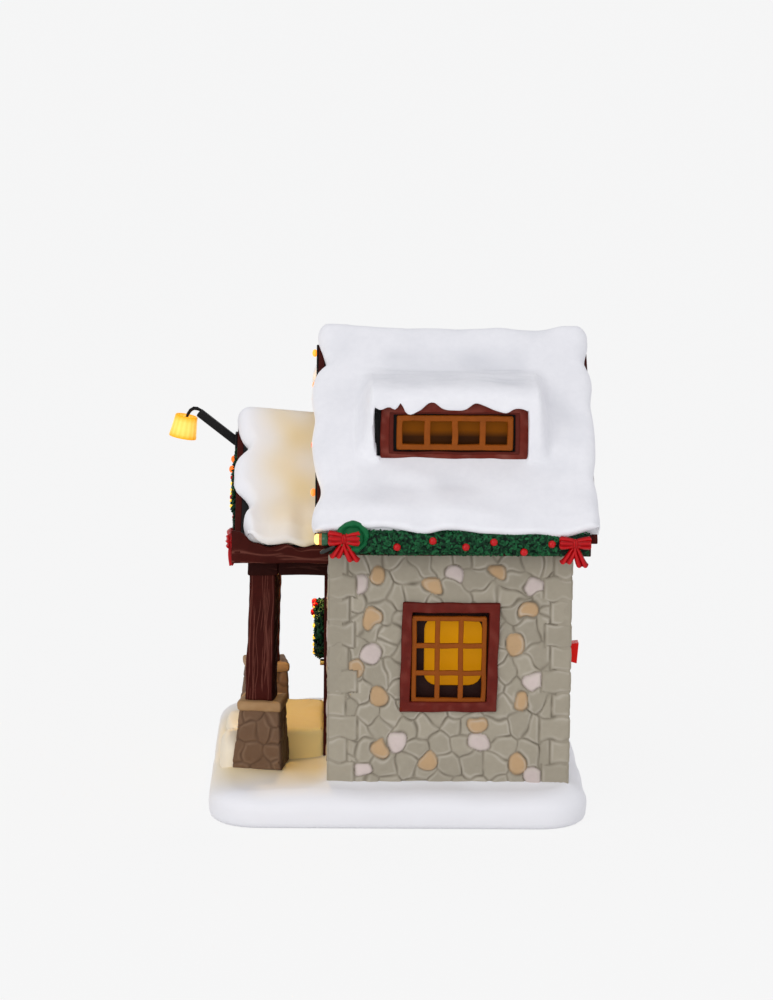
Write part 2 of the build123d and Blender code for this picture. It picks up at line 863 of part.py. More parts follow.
def make_bulb(diameter, length, x, face, z):
    bulb = rod_y(diameter, face - length, face, x, z)
    return fillet(bulb.edges().sort_by(Axis.Y)[0], min(diameter / 2, length) - fit_gap)


def add_light(sizes, x, face, z):
    """Socket and bulb in a row towards the front, on both slopes unless they are at the ridge."""
    socket_diameter, socket_length, bulb_diameter, bulb_length = sizes
    socket = rod_y(socket_diameter, face - socket_length, face, x, z)
    bulb = make_bulb(bulb_diameter, bulb_length, x, face - socket_length, z)
    sockets.append(socket)
    bulbs.append(bulb)
    if x > 0:
        sockets.append(mirrored(socket))
        bulbs.append(mirrored(bulb))


def make_light_wire():
    """Wire clipped along the barge boards above the sockets."""
    y = roof_front - light_wire_diameter / 2
    end = fascia_face - light_wire_diameter
    drop = light_wire_inset * upright
    route = [(-end, y, roof_top(end) - drop), (0, y, roof_top(0) - drop), (end, y, roof_top(end) - drop)]
    path = FilletPolyline(*route, radius=light_wire_bend)
    return sweep(Plane(origin=path @ 0, z_dir=path % 0) * Circle(light_wire_diameter / 2), path=path)


sockets = []
bulbs = []
light_sizes = (light_socket_diameter, light_socket_length, light_bulb_diameter, light_bulb_length)
corner_sizes = (corner_light_diameter, corner_socket_length, corner_light_diameter, corner_bulb_length)
for index in range(light_count):
    x = index * light_step
    add_light(light_sizes, x, roof_front, roof_top(x) - barge_depth * upright / 2)
add_light(corner_sizes, corner_light_x, garland_y0, corner_light_z)
parts["gable_light_sockets"] = group(sockets)
parts["gable_light_bulbs"] = group(bulbs)
parts["gable_light_wire"] = make_light_wire()


# Porch roof: boards, snow, barge boards, fascias, gable panel and ceiling
porch_y0 = porch_front + barge_thickness


def make_porch_fascia():
    points = [(porch_eave, ceiling_under), (porch_half_width, ceiling_under),
              (porch_half_width, porch_top(porch_half_width)), (porch_eave, porch_top(porch_eave))]
    return prism_y(points, porch_y0, front_wall)


def make_porch_gable():
    right = [(0, porch_under(0)), (porch_eave, porch_under(porch_eave)), (porch_eave, ceiling_top)]
    return prism_y(both_ways(right), porch_y0, porch_y0 + porch_gable_thickness)


parts["porch_roof_boards"] = roof_sheet(porch_under, porch_top, porch_eave, porch_y0, front_wall)
add_twins("porch_fascias", make_porch_fascia())
parts["porch_snow"] = snow_sheet(porch_snow_top, porch_top, porch_half_width, porch_snow_lip,
                                 porch_snow_round, porch_front - porch_snow_reach, front_wall)
parts["porch_barge_boards"] = barge_boards(porch_top, porch_barge_depth, porch_half_width, ceiling_under,
                                           porch_front, porch_y0)
parts["porch_gable"] = make_porch_gable()
parts["porch_ceiling"] = block(-porch_eave, porch_eave, porch_y0, front_wall, ceiling_under, ceiling_top)


# Garland along the porch barge boards, with a bow at each foot
def make_porch_garland():
    start = (porch_barge_depth - porch_garland_width) / 2 * upright
    end = porch_half_width - bow_width
    low = start + porch_garland_width * upright
    right = [(0, porch_top(0) - start), (end, porch_top(end) - start), (end, porch_top(end) - low),
             (0, porch_top(0) - low)]
    band = prism_y(both_ways(right), porch_front - porch_garland_thickness, porch_front)
    reach = arm_plate_size / 2 + fit_gap
    return band - block(-reach, reach, porch_front - porch_garland_thickness, porch_front, 0, porch_top(0))


porch_bow_x = porch_half_width - bow_width / 2 - porch_bow_inset
porch_bow_z = ceiling_under + porch_bow_rise
porch_bow_place = Plane(origin=(porch_bow_x, porch_front, porch_bow_z), x_dir=(1, 0, 0), z_dir=(0, -1, 0))
porch_bow = make_bow(porch_bow_place)
bows += [porch_bow, mirrored(porch_bow)]
parts["porch_garland"] = make_porch_garland()


# Porch timber on stone piers
beam_under = ground + porch_clear_height
cap_top = ground + pier_height + pier_cap_height


def make_post():
    half = post_size / 2
    post = block(post_x - half, post_x + half, post_y - half, post_y + half, cap_top, beam_under)
    return chamfer(post.edges().filter_by(Axis.Z), post_edge)


def make_pier():
    foot = Pos(post_x, post_y, ground) * Rectangle(pier_foot_size, pier_foot_size)
    head = Pos(post_x, post_y, ground + pier_height) * Rectangle(pier_top_size, pier_top_size)
    return loft([foot, head])


def make_pier_cap():
    half = pier_cap_size / 2
    cap = block(post_x - half, post_x + half, post_y - half, post_y + half, ground + pier_height, cap_top)
    return chamfer(cap.edges().group_by(Axis.Z)[-1], pier_cap_edge)


beam_inner = post_x - post_size / 2
beam_outer = post_x + post_size / 2
beam_front = post_y - post_size / 2
side_beam = block(beam_inner, beam_outer, beam_front, front_wall, beam_under, ceiling_under)
front_beam = block(-beam_inner, beam_inner, beam_front, beam_front + post_size, beam_under, ceiling_under)
add_pair("porch_post", make_post())
add_pair("porch_pier", make_pier())
add_twins("pier_caps", make_pier_cap())
parts["porch_beams"] = group([side_beam, mirrored(side_beam), front_beam])


# Porch slab between the piers, with a wider front step and a stair cut into its middle
facing_front = front_wall - facing_thickness
slab_front = -base_depth / 2 + step_front_gap


def make_porch_slab():
    pier_front = post_y - pier_foot_size / 2
    slab = block(-slab_half_width, slab_half_width, slab_front, facing_front, ground, slab_top)
    slab += block(-step_half_width, step_half_width, slab_front, pier_front - fit_gap, ground, slab_top)
    half = pier_foot_size / 2 + fit_gap
    for side in (-1, 1):
        x = side * post_x
        slab -= block(x - half, x + half, post_y - half, post_y + half, ground, slab_top)
    rise = slab_height / (stair_count + 1)
    for index in range(stair_count):
        back = slab_front + (index + 1) * step_depth
        slab -= block(-stair_half_width, stair_half_width, slab_front, back,
                      slab_top - (stair_count - index) * rise, slab_top)
    return slab


parts["porch_slab"] = make_porch_slab()


# Timber facing of the front wall, door with knob, wreath with its bow
door_face = front_wall - door_recess
door_top = slab_top + door_height


def make_front_facing():
    half = beam_inner - fit_gap
    facing = block(-half, half, facing_front, front_wall, ground, ceiling_under)
    return facing - block(-door_width / 2, door_width / 2, facing_front, front_wall, slab_top, door_top)


def make_wreath():
    ring = wreath_ring / 2
    z = slab_top + wreath_rise
    torus = Torus(wreath_diameter / 2 - ring, ring)
    wreath = Pos(0, door_face - ring + wreath_flat, z) * Rot(90, 0, 0) * torus
    return wreath - block(-wreath_diameter, wreath_diameter, door_face, door_face + wreath_ring,
                          z - wreath_diameter, z + wreath_diameter)


knob_x = door_width / 2 - 2 * knob_diameter
knob_z = slab_top + knob_rise
wreath_bow_z = slab_top + wreath_rise + wreath_diameter / 2 - wreath_ring / 2
wreath_face = door_face - wreath_ring + wreath_flat
wreath_bow_place = Plane(origin=(0, wreath_face, wreath_bow_z), x_dir=(1, 0, 0), z_dir=(0, -1, 0))
wreath_bow = make_bow(wreath_bow_place, wreath_bow_share)
bows.append(wreath_bow)
parts["front_facing"] = make_front_facing()
leaf_half = door_width / 2 - fit_gap
parts["door_leaf"] = block(-leaf_half, leaf_half, door_face, door_face + door_thickness,
                           slab_top + fit_gap, door_top - fit_gap)
parts["door_knob"] = rod_y(knob_diameter, door_face - knob_diameter, door_face, knob_x, knob_z)
parts["wreath"] = make_wreath()
parts["bows"] = group(bows)


# Blank sign board on the porch gable, sign lamp on a sloping arm above it
sign_foot = ceiling_top + sign_rise
sign_head = sign_foot + sign_height
sign_half = (porch_top(0) - porch_barge_depth * upright - sign_head) / slope - sign_side_gap
arm_root_z = porch_top(0) - arm_drop * upright
arm_dir = (-cos(radians(arm_angle)), sin(radians(arm_angle)))
arm_tip_y = porch_front + arm_dir[0] * arm_length
arm_tip_z = arm_root_z + arm_dir[1] * arm_length
shade_axis = Vector(0, -sin(radians(shade_tilt)), -cos(radians(shade_tilt)))
shade_top_point = Vector(0, arm_tip_y - shade_reach, arm_tip_z - shade_drop)
shade_place = Plane(origin=shade_top_point, x_dir=(1, 0, 0), z_dir=shade_axis)


def make_shade():
    outer = Cone(shade_top_diameter / 2, shade_mouth_diameter / 2, shade_height,
                 align=(Align.CENTER, Align.CENTER, Align.MIN))
    inner = Cone(shade_top_diameter / 2 - shade_wall, shade_mouth_diameter / 2 - shade_wall,
                 shade_height - shade_wall, align=(Align.CENTER, Align.CENTER, Align.MIN))
    return shade_place * (outer - Pos(0, 0, shade_wall) * inner)


def make_lamp_arm():
    half = arm_size / 2
    plate = block(-arm_plate_size / 2, arm_plate_size / 2, porch_front - arm_plate_thickness, porch_front,
                  arm_root_z - arm_plate_size / 2, arm_root_z + arm_plate_size / 2)
    bar = Rot(-arm_angle, 0, 0) * block(-half, half, -arm_length, 0, -half, half)
    bar = Pos(0, porch_front, arm_root_z) * bar
    bar -= block(-arm_size, arm_size, porch_front, porch_front + arm_size * 2, arm_root_z - arm_size * 2,
                 arm_root_z + arm_size * 2)
    collar = shade_place * Pos(0, 0, -collar_height / 2) * Cylinder(collar_diameter / 2, collar_height)
    neck_half = collar_height / 2
    neck = block(-neck_half, neck_half, arm_tip_y - shade_reach, arm_tip_y + half,
                 arm_tip_z, arm_tip_z + neck_height)
    return plate + bar + collar + neck


parts["sign_board"] = block(-sign_half, sign_half, porch_y0 - sign_thickness, porch_y0, sign_foot, sign_head)
parts["lamp_arm"] = make_lamp_arm()
parts["lamp_shade"] = make_shade()


# Rocker switch in the back wall, shown switched on with the top of the rocker out
pivot = Vector(switch_offset, back_wall + switch_bezel_thickness / 3, switch_z)


def rocker_profile(half_face, half_root):
    """Flared profile of the rocker from its root to its face, level and untilted."""
    face = back_wall + rocker_proud - pivot.Y
    return [(-rocker_root, -half_root), (-rocker_root, half_root), (face, half_face), (face, -half_face)]


def make_rocker():
    profile = rocker_profile(rocker_height / 2, rocker_root_height / 2)
    paddle = prism_x(profile, -rocker_width / 2, rocker_width / 2)
    reach = rocker_width / 2 + rocker_pin_reach
    paddle += rod_x(rocker_pin_diameter, -reach, reach, 0, 0)
    return Pos(*pivot) * Rot(-rocker_tilt, 0, 0) * paddle


def make_switch_housing():
    half_h = switch_bezel_height / 2
    half_w = switch_bezel_width / 2
    body_h = switch_body_height / 2
    body_w = switch_body_width / 2
    bezel_face = back_wall + switch_bezel_thickness
    housing = block(switch_offset - half_w, switch_offset + half_w, back_wall, bezel_face,
                    switch_z - half_h, switch_z + half_h)
    housing += block(switch_offset - body_w, switch_offset + body_w, back_wall - switch_body_depth, back_wall,
                     switch_z - body_h, switch_z + body_h)
    swing = rocker_proud * sin(radians(rocker_tilt)) + run_gap
    well_h = rocker_height / 2 + swing
    well_w = rocker_width / 2 + run_gap
    well_floor = pivot.Y - rocker_root - rocker_height * sin(radians(rocker_tilt)) / 2 - run_gap
    housing -= block(switch_offset - well_w, switch_offset + well_w, well_floor, bezel_face,
                     switch_z - well_h, switch_z + well_h)
    reach = rocker_width / 2 + rocker_pin_reach + run_gap
    housing -= rod_x(rocker_pin_diameter + run_gap, switch_offset - reach, switch_offset + reach,
                     pivot.Y, pivot.Z)
    return housing


parts["switch_housing"] = make_switch_housing()
parts["switch_rocker"] = make_rocker()


# Lighting: a board on a post in the house, one small lamp in the porch and one in the shade
led_board_z = box_top + led_board_rise


def make_led(diameter, height):
    """Round-topped lamp standing on its flange."""
    lamp = Cylinder(diameter / 2, height, align=(Align.CENTER, Align.CENTER, Align.MIN))
    return fillet(lamp.edges().sort_by(Axis.Z)[-1], diameter / 2 - fit_gap)


def make_led_post():
    post = rod_z(led_post_diameter, box_top, led_board_z, 0, box_middle)
    return post + rod_z(led_board_diameter, led_board_z, led_board_z + led_board_thickness, 0, box_middle)


board_face = Pos(0, box_middle, led_board_z + led_board_thickness)
house_led = Pos(led_ring_diameter / 2, 0, 0) * make_led(led_diameter, led_height)
house_leds = [board_face * Rot(0, 0, index * 360 / led_count) * house_led for index in range(led_count)]
porch_led_y = (beam_front + post_size + facing_front) / 2
small_led = make_led(small_led_diameter, small_led_height)
porch_led = Pos(0, porch_led_y, ceiling_under) * Rot(180, 0, 0) * small_led
sign_led = shade_place * Pos(0, 0, shade_wall) * small_led
parts["led_post"] = make_led_post()
parts["leds"] = group(house_leds + [porch_led, sign_led])


# Wires inside: battery box to switch, switch to board, board to the porch and to the sign lamp
def make_wire(route):
    path = FilletPolyline(*route, radius=wire_bend)
    return sweep(Plane(origin=path @ 0, z_dir=path % 0) * Circle(wire_diameter / 2), path=path)


box_side = bay_half_length + box_wall
board_edge = led_board_diameter / 2
board_mid = led_board_z + led_board_thickness / 2
switch_rear = back_wall - switch_body_depth
lead_gap = 3 * wire_bend
terminal = switch_body_height / 4
wire_pair = (wire_diameter + fit_gap) / 2
gable_back = porch_y0 + porch_gable_thickness
sign_middle = (sign_foot + sign_head) / 2
to_switch = [(box_side, box_middle, box_top / 2), (switch_offset, box_middle, box_top / 2),
             (switch_offset, box_middle, switch_z - terminal),
             (switch_offset, switch_rear, switch_z - terminal)]
to_board = [(switch_offset, switch_rear, switch_z + terminal),
            (switch_offset, box_middle, switch_z + terminal),
            (board_edge + lead_gap, box_middle, board_mid), (board_edge, box_middle, board_mid)]


def front_run(x):
    """Way from the board through the hole in the front wall to a point above the porch lamp."""
    return [(x, box_middle - board_edge, board_mid), (x, box_middle - board_edge - lead_gap, board_mid),
            (x, front_wall + wall_thickness + lead_gap, wire_hole_z), (x, porch_led_y, wire_hole_z)]


to_porch = front_run(wire_pair) + [(wire_pair, porch_led_y, ceiling_top)]
to_sign = front_run(-wire_pair) + [(-wire_pair, gable_back + lead_gap / 2, sign_middle),
                                   (-wire_pair, gable_back, sign_middle)]
parts["wiring"] = group([make_wire(route) for route in (to_switch, to_board, to_porch, to_sign)])


os.makedirs("parts", exist_ok=True)
for name, shape in parts.items():
    export_step(shape, f"parts/{name}.step")
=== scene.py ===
import bmesh
import bpy
import numpy as np
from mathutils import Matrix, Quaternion, Vector


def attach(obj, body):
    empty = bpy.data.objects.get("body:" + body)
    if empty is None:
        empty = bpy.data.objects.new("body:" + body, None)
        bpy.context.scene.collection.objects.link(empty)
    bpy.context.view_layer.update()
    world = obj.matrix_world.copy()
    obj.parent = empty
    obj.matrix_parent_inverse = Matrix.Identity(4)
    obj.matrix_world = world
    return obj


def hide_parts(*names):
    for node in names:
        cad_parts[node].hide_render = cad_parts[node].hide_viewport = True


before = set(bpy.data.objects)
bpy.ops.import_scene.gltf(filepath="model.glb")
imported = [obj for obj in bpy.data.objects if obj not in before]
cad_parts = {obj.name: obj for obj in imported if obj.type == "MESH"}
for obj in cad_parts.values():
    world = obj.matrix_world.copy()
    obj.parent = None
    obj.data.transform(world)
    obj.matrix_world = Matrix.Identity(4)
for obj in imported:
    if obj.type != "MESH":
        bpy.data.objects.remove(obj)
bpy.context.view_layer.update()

# Snow-covered ground.
# One hollow ceramic casting with a matt white glaze, soft-edged like wet snow, that carries the house.
# Snow is heaped a little where the walls meet it, and a plate closes it from below.
mm = 0.001
ground_half = (85.0, 74.5)
ground_corner = 20.0
ground_top = 14.0
wall_half = (69.0, 47.0)
wall_middle = 19.5
snow_white = (240, 240, 243)
snow_lamplight = (234, 206, 132)
snow_shade = (204, 206, 212)
cloud_scale, patch_scale, grain_scale = 75, 420, 2600
grain_height = 0.3


def paint(red, green, blue):
    """Linear colour of a paint that is named by its screen values, 0 to 255."""
    share = np.array([red, green, blue]) / 255
    linear = np.where(share <= 0.04045, share / 12.92, ((share + 0.055) / 1.055) ** 2.4)
    return (*linear.tolist(), 1.0)


def outline(half_a, half_b, corner, side=8, arc=6):
    """Rounded rectangle: quarter circles about four corner centres, with even straight runs between."""
    turn = np.linspace(0, np.pi / 2, arc) + np.arange(4)[:, None] * np.pi / 2
    signs = np.array([[1, 1], [-1, 1], [-1, -1], [1, -1]])
    centres = signs * (np.array([half_a, half_b]) - corner)
    arcs = centres[:, None] + corner * np.stack([np.cos(turn), np.sin(turn)], axis=-1)
    step = (np.arange(side) + 1)[None, :, None] / (side + 1)
    runs = arcs[:, -1:] * (1 - step) + np.roll(arcs, -1, axis=0)[:, :1] * step
    return np.concatenate([arcs, runs], axis=1).reshape(-1, 2)


def ripple(points, size, seed, waves=7):
    """Soft unevenness of about one unit: a sum of sine waves of one length, in random directions."""
    random = np.random.default_rng(seed)
    ways = random.normal(size=(waves, points.shape[-1]))
    ways /= np.linalg.norm(ways, axis=1, keepdims=True)
    phases = random.uniform(0, 2 * np.pi, waves)
    return np.sin(points @ ways.T * (2 * np.pi / size) + phases).sum(axis=-1) * 2 / waves


def skin(points, around=False, along=False, capped=False, **values):
    """Four-sided faces over rows and columns of points, closed around, along or by end fans.

    Values given for each point become attributes. A skin whose volume comes out negative is turned round.
    """
    rows, columns = points.shape[:2]
    index = np.arange(rows * columns).reshape(rows, columns)
    vertices = points.reshape(-1, 3)
    values = {name: value.reshape(rows * columns, -1) for name, value in values.items()}
    ring = np.column_stack([index, index[:, :1]]) if around else index
    tris = np.empty((0, 3), int)
    if capped:
        middle = np.full(ring.shape[1] - 1, rows * columns)
        tris = np.vstack([np.column_stack([ring[0, 1:], ring[0, :-1], middle]),
                          np.column_stack([ring[-1, :-1], ring[-1, 1:], middle + 1])])
        vertices = np.vstack([vertices, points[[0, -1]].mean(axis=1)])
        values = {name: np.vstack([value, value[index[0]].mean(axis=0), value[index[-1]].mean(axis=0)])
                  for name, value in values.items()}
    if along:
        ring = np.vstack([ring, ring[:1]])
    quads = np.stack([ring[:-1, :-1], ring[:-1, 1:], ring[1:, 1:], ring[1:, :-1]], axis=-1).reshape(-1, 4)
    corners = np.vstack([quads[:, [0, 1, 2]], quads[:, [0, 2, 3]], tris])
    a, b, c = (vertices[corners[:, k]] for k in range(3))
    if np.einsum("ij,ij->i", a, np.cross(b, c)).sum() < 0:
        quads, tris = quads[:, ::-1], tris[:, ::-1]
    return {"points": vertices, "quads": quads, "tris": tris, "values": values}


def add_piece(name, made, material, nodes=(), body="house", crease=50.0):
    """Mesh of a skin in the shared frame, riding on its body, standing for the named solids."""
    mesh = bpy.data.meshes.new(name)
    mesh.from_pydata((made["points"] * mm).tolist(), [], made["quads"].tolist() + made["tris"].tolist())
    mesh.shade_smooth()
    mesh.set_sharp_from_angle(angle=np.radians(crease))
    for key, value in made["values"].items():
        colour = value.shape[1] == 4
        layer = mesh.attributes.new(key, "FLOAT_COLOR" if colour else "FLOAT", "POINT")
        layer.data.foreach_set("color" if colour else "value", value.astype(np.float32).ravel())
    mesh.materials.append(material)
    piece = bpy.data.objects.new(name, mesh)
    bpy.context.scene.collection.objects.link(piece)
    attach(piece, body)
    if nodes:
        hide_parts(*nodes)
    return piece


def calculate(nodes, link, operation, *terms):
    """Math node on terms that are sockets or fixed numbers."""
    node = nodes.new("ShaderNodeMath")
    node.operation = operation
    for socket, term in zip(node.inputs, terms):
        if isinstance(term, (int, float)):
            socket.default_value = term
        else:
            link(term, socket)
    return node.outputs[0]


def blend(nodes, link, share, first, second):
    """Two colours, each a socket or a fixed paint, mixed by a share."""
    mix = nodes.new("ShaderNodeMix")
    mix.data_type = "RGBA"
    link(share, mix.inputs["Factor"])
    first_color, second_color, mixed_color = mix.inputs[6], mix.inputs[7], mix.outputs[2]
    for socket, color in ((first_color, first), (second_color, second)):
        if isinstance(color, tuple):
            socket.default_value = color
        else:
            link(color, socket)
    return mixed_color


def make_brushed_paint():
    """Brushed paint: mottled colour, a wash for dark joints and painted light, and dry-brushed ridges."""
    group = bpy.data.node_groups.new("brushed_paint", "ShaderNodeTree")
    inputs = {"NodeSocketColor": ("Color", "Wash", "Brush"),
              "NodeSocketFloat": ("Hollow", "Ridge", "Mottle", "Rough")}
    outputs = {"NodeSocketColor": ("Color",), "NodeSocketFloat": ("Roughness", "Height")}
    for way, sockets in (("INPUT", inputs), ("OUTPUT", outputs)):
        for kind, names in sockets.items():
            for name in names:
                group.interface.new_socket(name, in_out=way, socket_type=kind)
    nodes, link = group.nodes, group.links.new
    given, made = nodes.new("NodeGroupInput").outputs, nodes.new("NodeGroupOutput").inputs
    place = nodes.new("ShaderNodeTexCoord").outputs["Object"]
    noises = []
    for scale in (cloud_scale, patch_scale, grain_scale):
        noise = nodes.new("ShaderNodeTexNoise")
        noise.inputs["Scale"].default_value = scale
        noise.inputs["Detail"].default_value = 3
        link(place, noise.inputs["Vector"])
        noises.append(noise.outputs["Fac"])
    clouds, patches, grain = noises
    spread = nodes.new("ShaderNodeMapRange")
    for socket, value in (("From Min", 0.75), ("From Max", 1.3), ("To Min", 0.0), ("To Max", 1.0)):
        spread.inputs[socket].default_value = value
    link(calculate(nodes, link, "ADD", clouds, patches), spread.inputs["Value"])
    mottle = calculate(nodes, link, "MULTIPLY", spread.outputs[0], given["Mottle"])
    color = blend(nodes, link, mottle, given["Color"], given["Wash"])
    color = blend(nodes, link, given["Ridge"], color, given["Brush"])
    color = blend(nodes, link, given["Hollow"], color, given["Wash"])
    link(color, made["Color"])
    link(calculate(nodes, link, "MULTIPLY_ADD", patches, 0.25, given["Rough"]), made["Roughness"])
    link(grain, made["Height"])
    return group


brushed_paint = make_brushed_paint()


def new_material(name):
    """Material with its nodes, the function that links them, and its shader."""
    material = bpy.data.materials.new(name)
    material.use_nodes = True
    nodes = material.node_tree.nodes
    return material, nodes, material.node_tree.links.new, nodes["Principled BSDF"]


def coat(name, color, wash, brush=(255, 255, 255), mottle=0.25, rough=0.45, grain=0.15, gloss=0.12,
         tinted=False, lit=0.0):
    """Painted finish: brushed paint on a fine grain, by the mesh's wash and painted light, ridges, tints,
    glow.
    """
    material, nodes, link, shader = new_material(name)
    layer = nodes.new("ShaderNodeGroup")
    layer.node_tree = brushed_paint
    for socket, value in (("Color", paint(*color)), ("Wash", paint(*wash)), ("Brush", paint(*brush)),
                          ("Mottle", mottle), ("Rough", rough)):
        layer.inputs[socket].default_value = value

    def carried(attribute, output="Fac"):
        """Socket of a value that the mesh carries at each point."""
        value = nodes.new("ShaderNodeAttribute")
        value.attribute_name = attribute
        return value.outputs[output]

    # The wash share holds dark joints on some pieces, and painted shade and warm lamp light on others.
    link(carried("hollow"), layer.inputs["Hollow"])
    link(carried("ridge"), layer.inputs["Ridge"])
    if tinted:
        link(carried("tint", "Color"), layer.inputs["Color"])
    bump = nodes.new("ShaderNodeBump")
    bump.inputs["Strength"].default_value = grain
    bump.inputs["Distance"].default_value = grain_height * mm
    link(layer.outputs["Height"], bump.inputs["Height"])
    link(layer.outputs["Color"], shader.inputs["Base Color"])
    link(layer.outputs["Roughness"], shader.inputs["Roughness"])
    link(bump.outputs["Normal"], shader.inputs["Normal"])
    shader.inputs["Specular IOR Level"].default_value = gloss
    if lit:
        light = blend(nodes, link, carried("lit"), paint(0, 0, 0), layer.outputs["Color"])
        link(light, shader.inputs["Emission Color"])
        shader.inputs["Emission Strength"].default_value = lit
    return material


snow_finish = coat("snow_glaze", snow_white, snow_shade, mottle=0.14, rough=0.45, grain=0.12, gloss=0.2)
# Snow finish that carries painted warm light of the porch lamp and the gable bulbs where its mesh asks for
# it.
lamplit_snow_finish = coat("warm_snow_glaze", snow_white, snow_lamplight, mottle=0.0, rough=0.45, grain=0.12,
                        gloss=0.2)


def make_ground():
    """Rings round the ground: a bulged edge carried round the outline, then in under the walls and back.

    Near the porch the snow is tinted warm with painted light of the porch lamp.
    """
    edge = [(10.0, 0.0), (3.6, 0.0), (2.2, 0.3), (1.0, 1.2), (0.35, 2.8), (0.1, 5.0), (0.0, 7.0),
            (0.3, 8.9), (1.2, 10.7), (2.8, 12.2), (5.2, 13.3), (8.4, 14.0)]
    size = {"side": 44, "arc": 9}
    rings = []
    for inset, z in edge:
        ring = outline(ground_half[0] - inset, ground_half[1] - inset, ground_corner - inset, **size)
        rings.append(np.column_stack([ring, np.full(len(ring), z)]))
    inner = outline(wall_half[0] - 10, wall_half[1] - 10, 2.0, **size) + (0, wall_middle)
    inner = np.column_stack([inner, np.full(len(inner), ground_top)])
    reach = np.linspace(0, 1, 30)[1:, None, None]
    top = rings[-1] * (1 - reach) + inner * reach
    under = inner - (0, 0, 4.0)
    cavity = rings[0] + (0, 0, 10.0)
    points = np.concatenate([np.array(rings), top, [under, cavity]])
    past_side = np.abs(points[..., 0]) - wall_half[0]
    past_end = np.abs(points[..., 1] - wall_middle) - wall_half[1]
    heap = 2.4 * np.exp(-np.maximum(np.maximum(past_side, past_end), 0) / 5.0)
    exposed = np.clip((points[..., 2] - 3) / 9, 0, 1)
    exposed[-2:] = 0
    soft = ripple(points, 34, 3) * 0.45 + ripple(points, 13, 4) * 0.16
    points[..., 2] += exposed * (soft + heap - 0.4)
    away = points[..., :2] / np.linalg.norm(points[..., :2], axis=-1, keepdims=True)
    points[..., :2] -= away * (exposed * np.maximum(ripple(points, 26, 5), -0.2) * 0.5)[..., None]
    # Painted light: the warm tint near the porch stands for the porch lamp's light, mottled a little.
    lamp_pool = np.clip((77 - np.abs(points[..., 0])) / 34, 0, 1) * np.clip((points[..., 1] + 82) / 16, 0, 1)
    lamp_pool = lamp_pool * np.clip((-20 - points[..., 1]) / 12, 0, 1)
    lamp_pool_mottle = 0.72 + 0.1 * ripple(points, 21, 6)
    return skin(points, around=True, along=True, hollow=np.clip(lamp_pool * lamp_pool_mottle * exposed, 0, 1))


add_piece("snow_ground", make_ground(), lamplit_snow_finish, ["snow_base"])


# Stone walls.
# Rubble of rounded stones between dressed corner blocks, cast in one shell with the gables.
# The casting is painted grey-beige with a dark wash in the joints, with some stones in tan and pink.
wall_top = 119.0
gable_slope = np.tan(np.radians(39.7))
stone_grey = (164, 156, 139)
stone_joint = (106, 98, 84)
stone_edge = (198, 190, 176)
stone_tan = (190, 158, 120)
stone_pink = (208, 193, 187)
corner_course = 9.3
pebble_pitch = 15.0
tan_stones = [(-9, 98), (13, 94), (38, 100), (50, 85), (-11, 81), (45, 70), (-17, 61), (-8, 50), (48, 48),
              (31, 38.5), (-7.5, 28.5), (12, 24), (47, 23)]
pink_stones = [(-17, 94), (21, 99.5), (52, 94), (-11, 67), (53, 56), (-0.5, 31.5), (31, 31.5), (-14, 20.5),
               (53, 17.5)]
wall_depth = 5.0
door_recess = {"half_width": 27, "top": 90, "depth": 1.5}


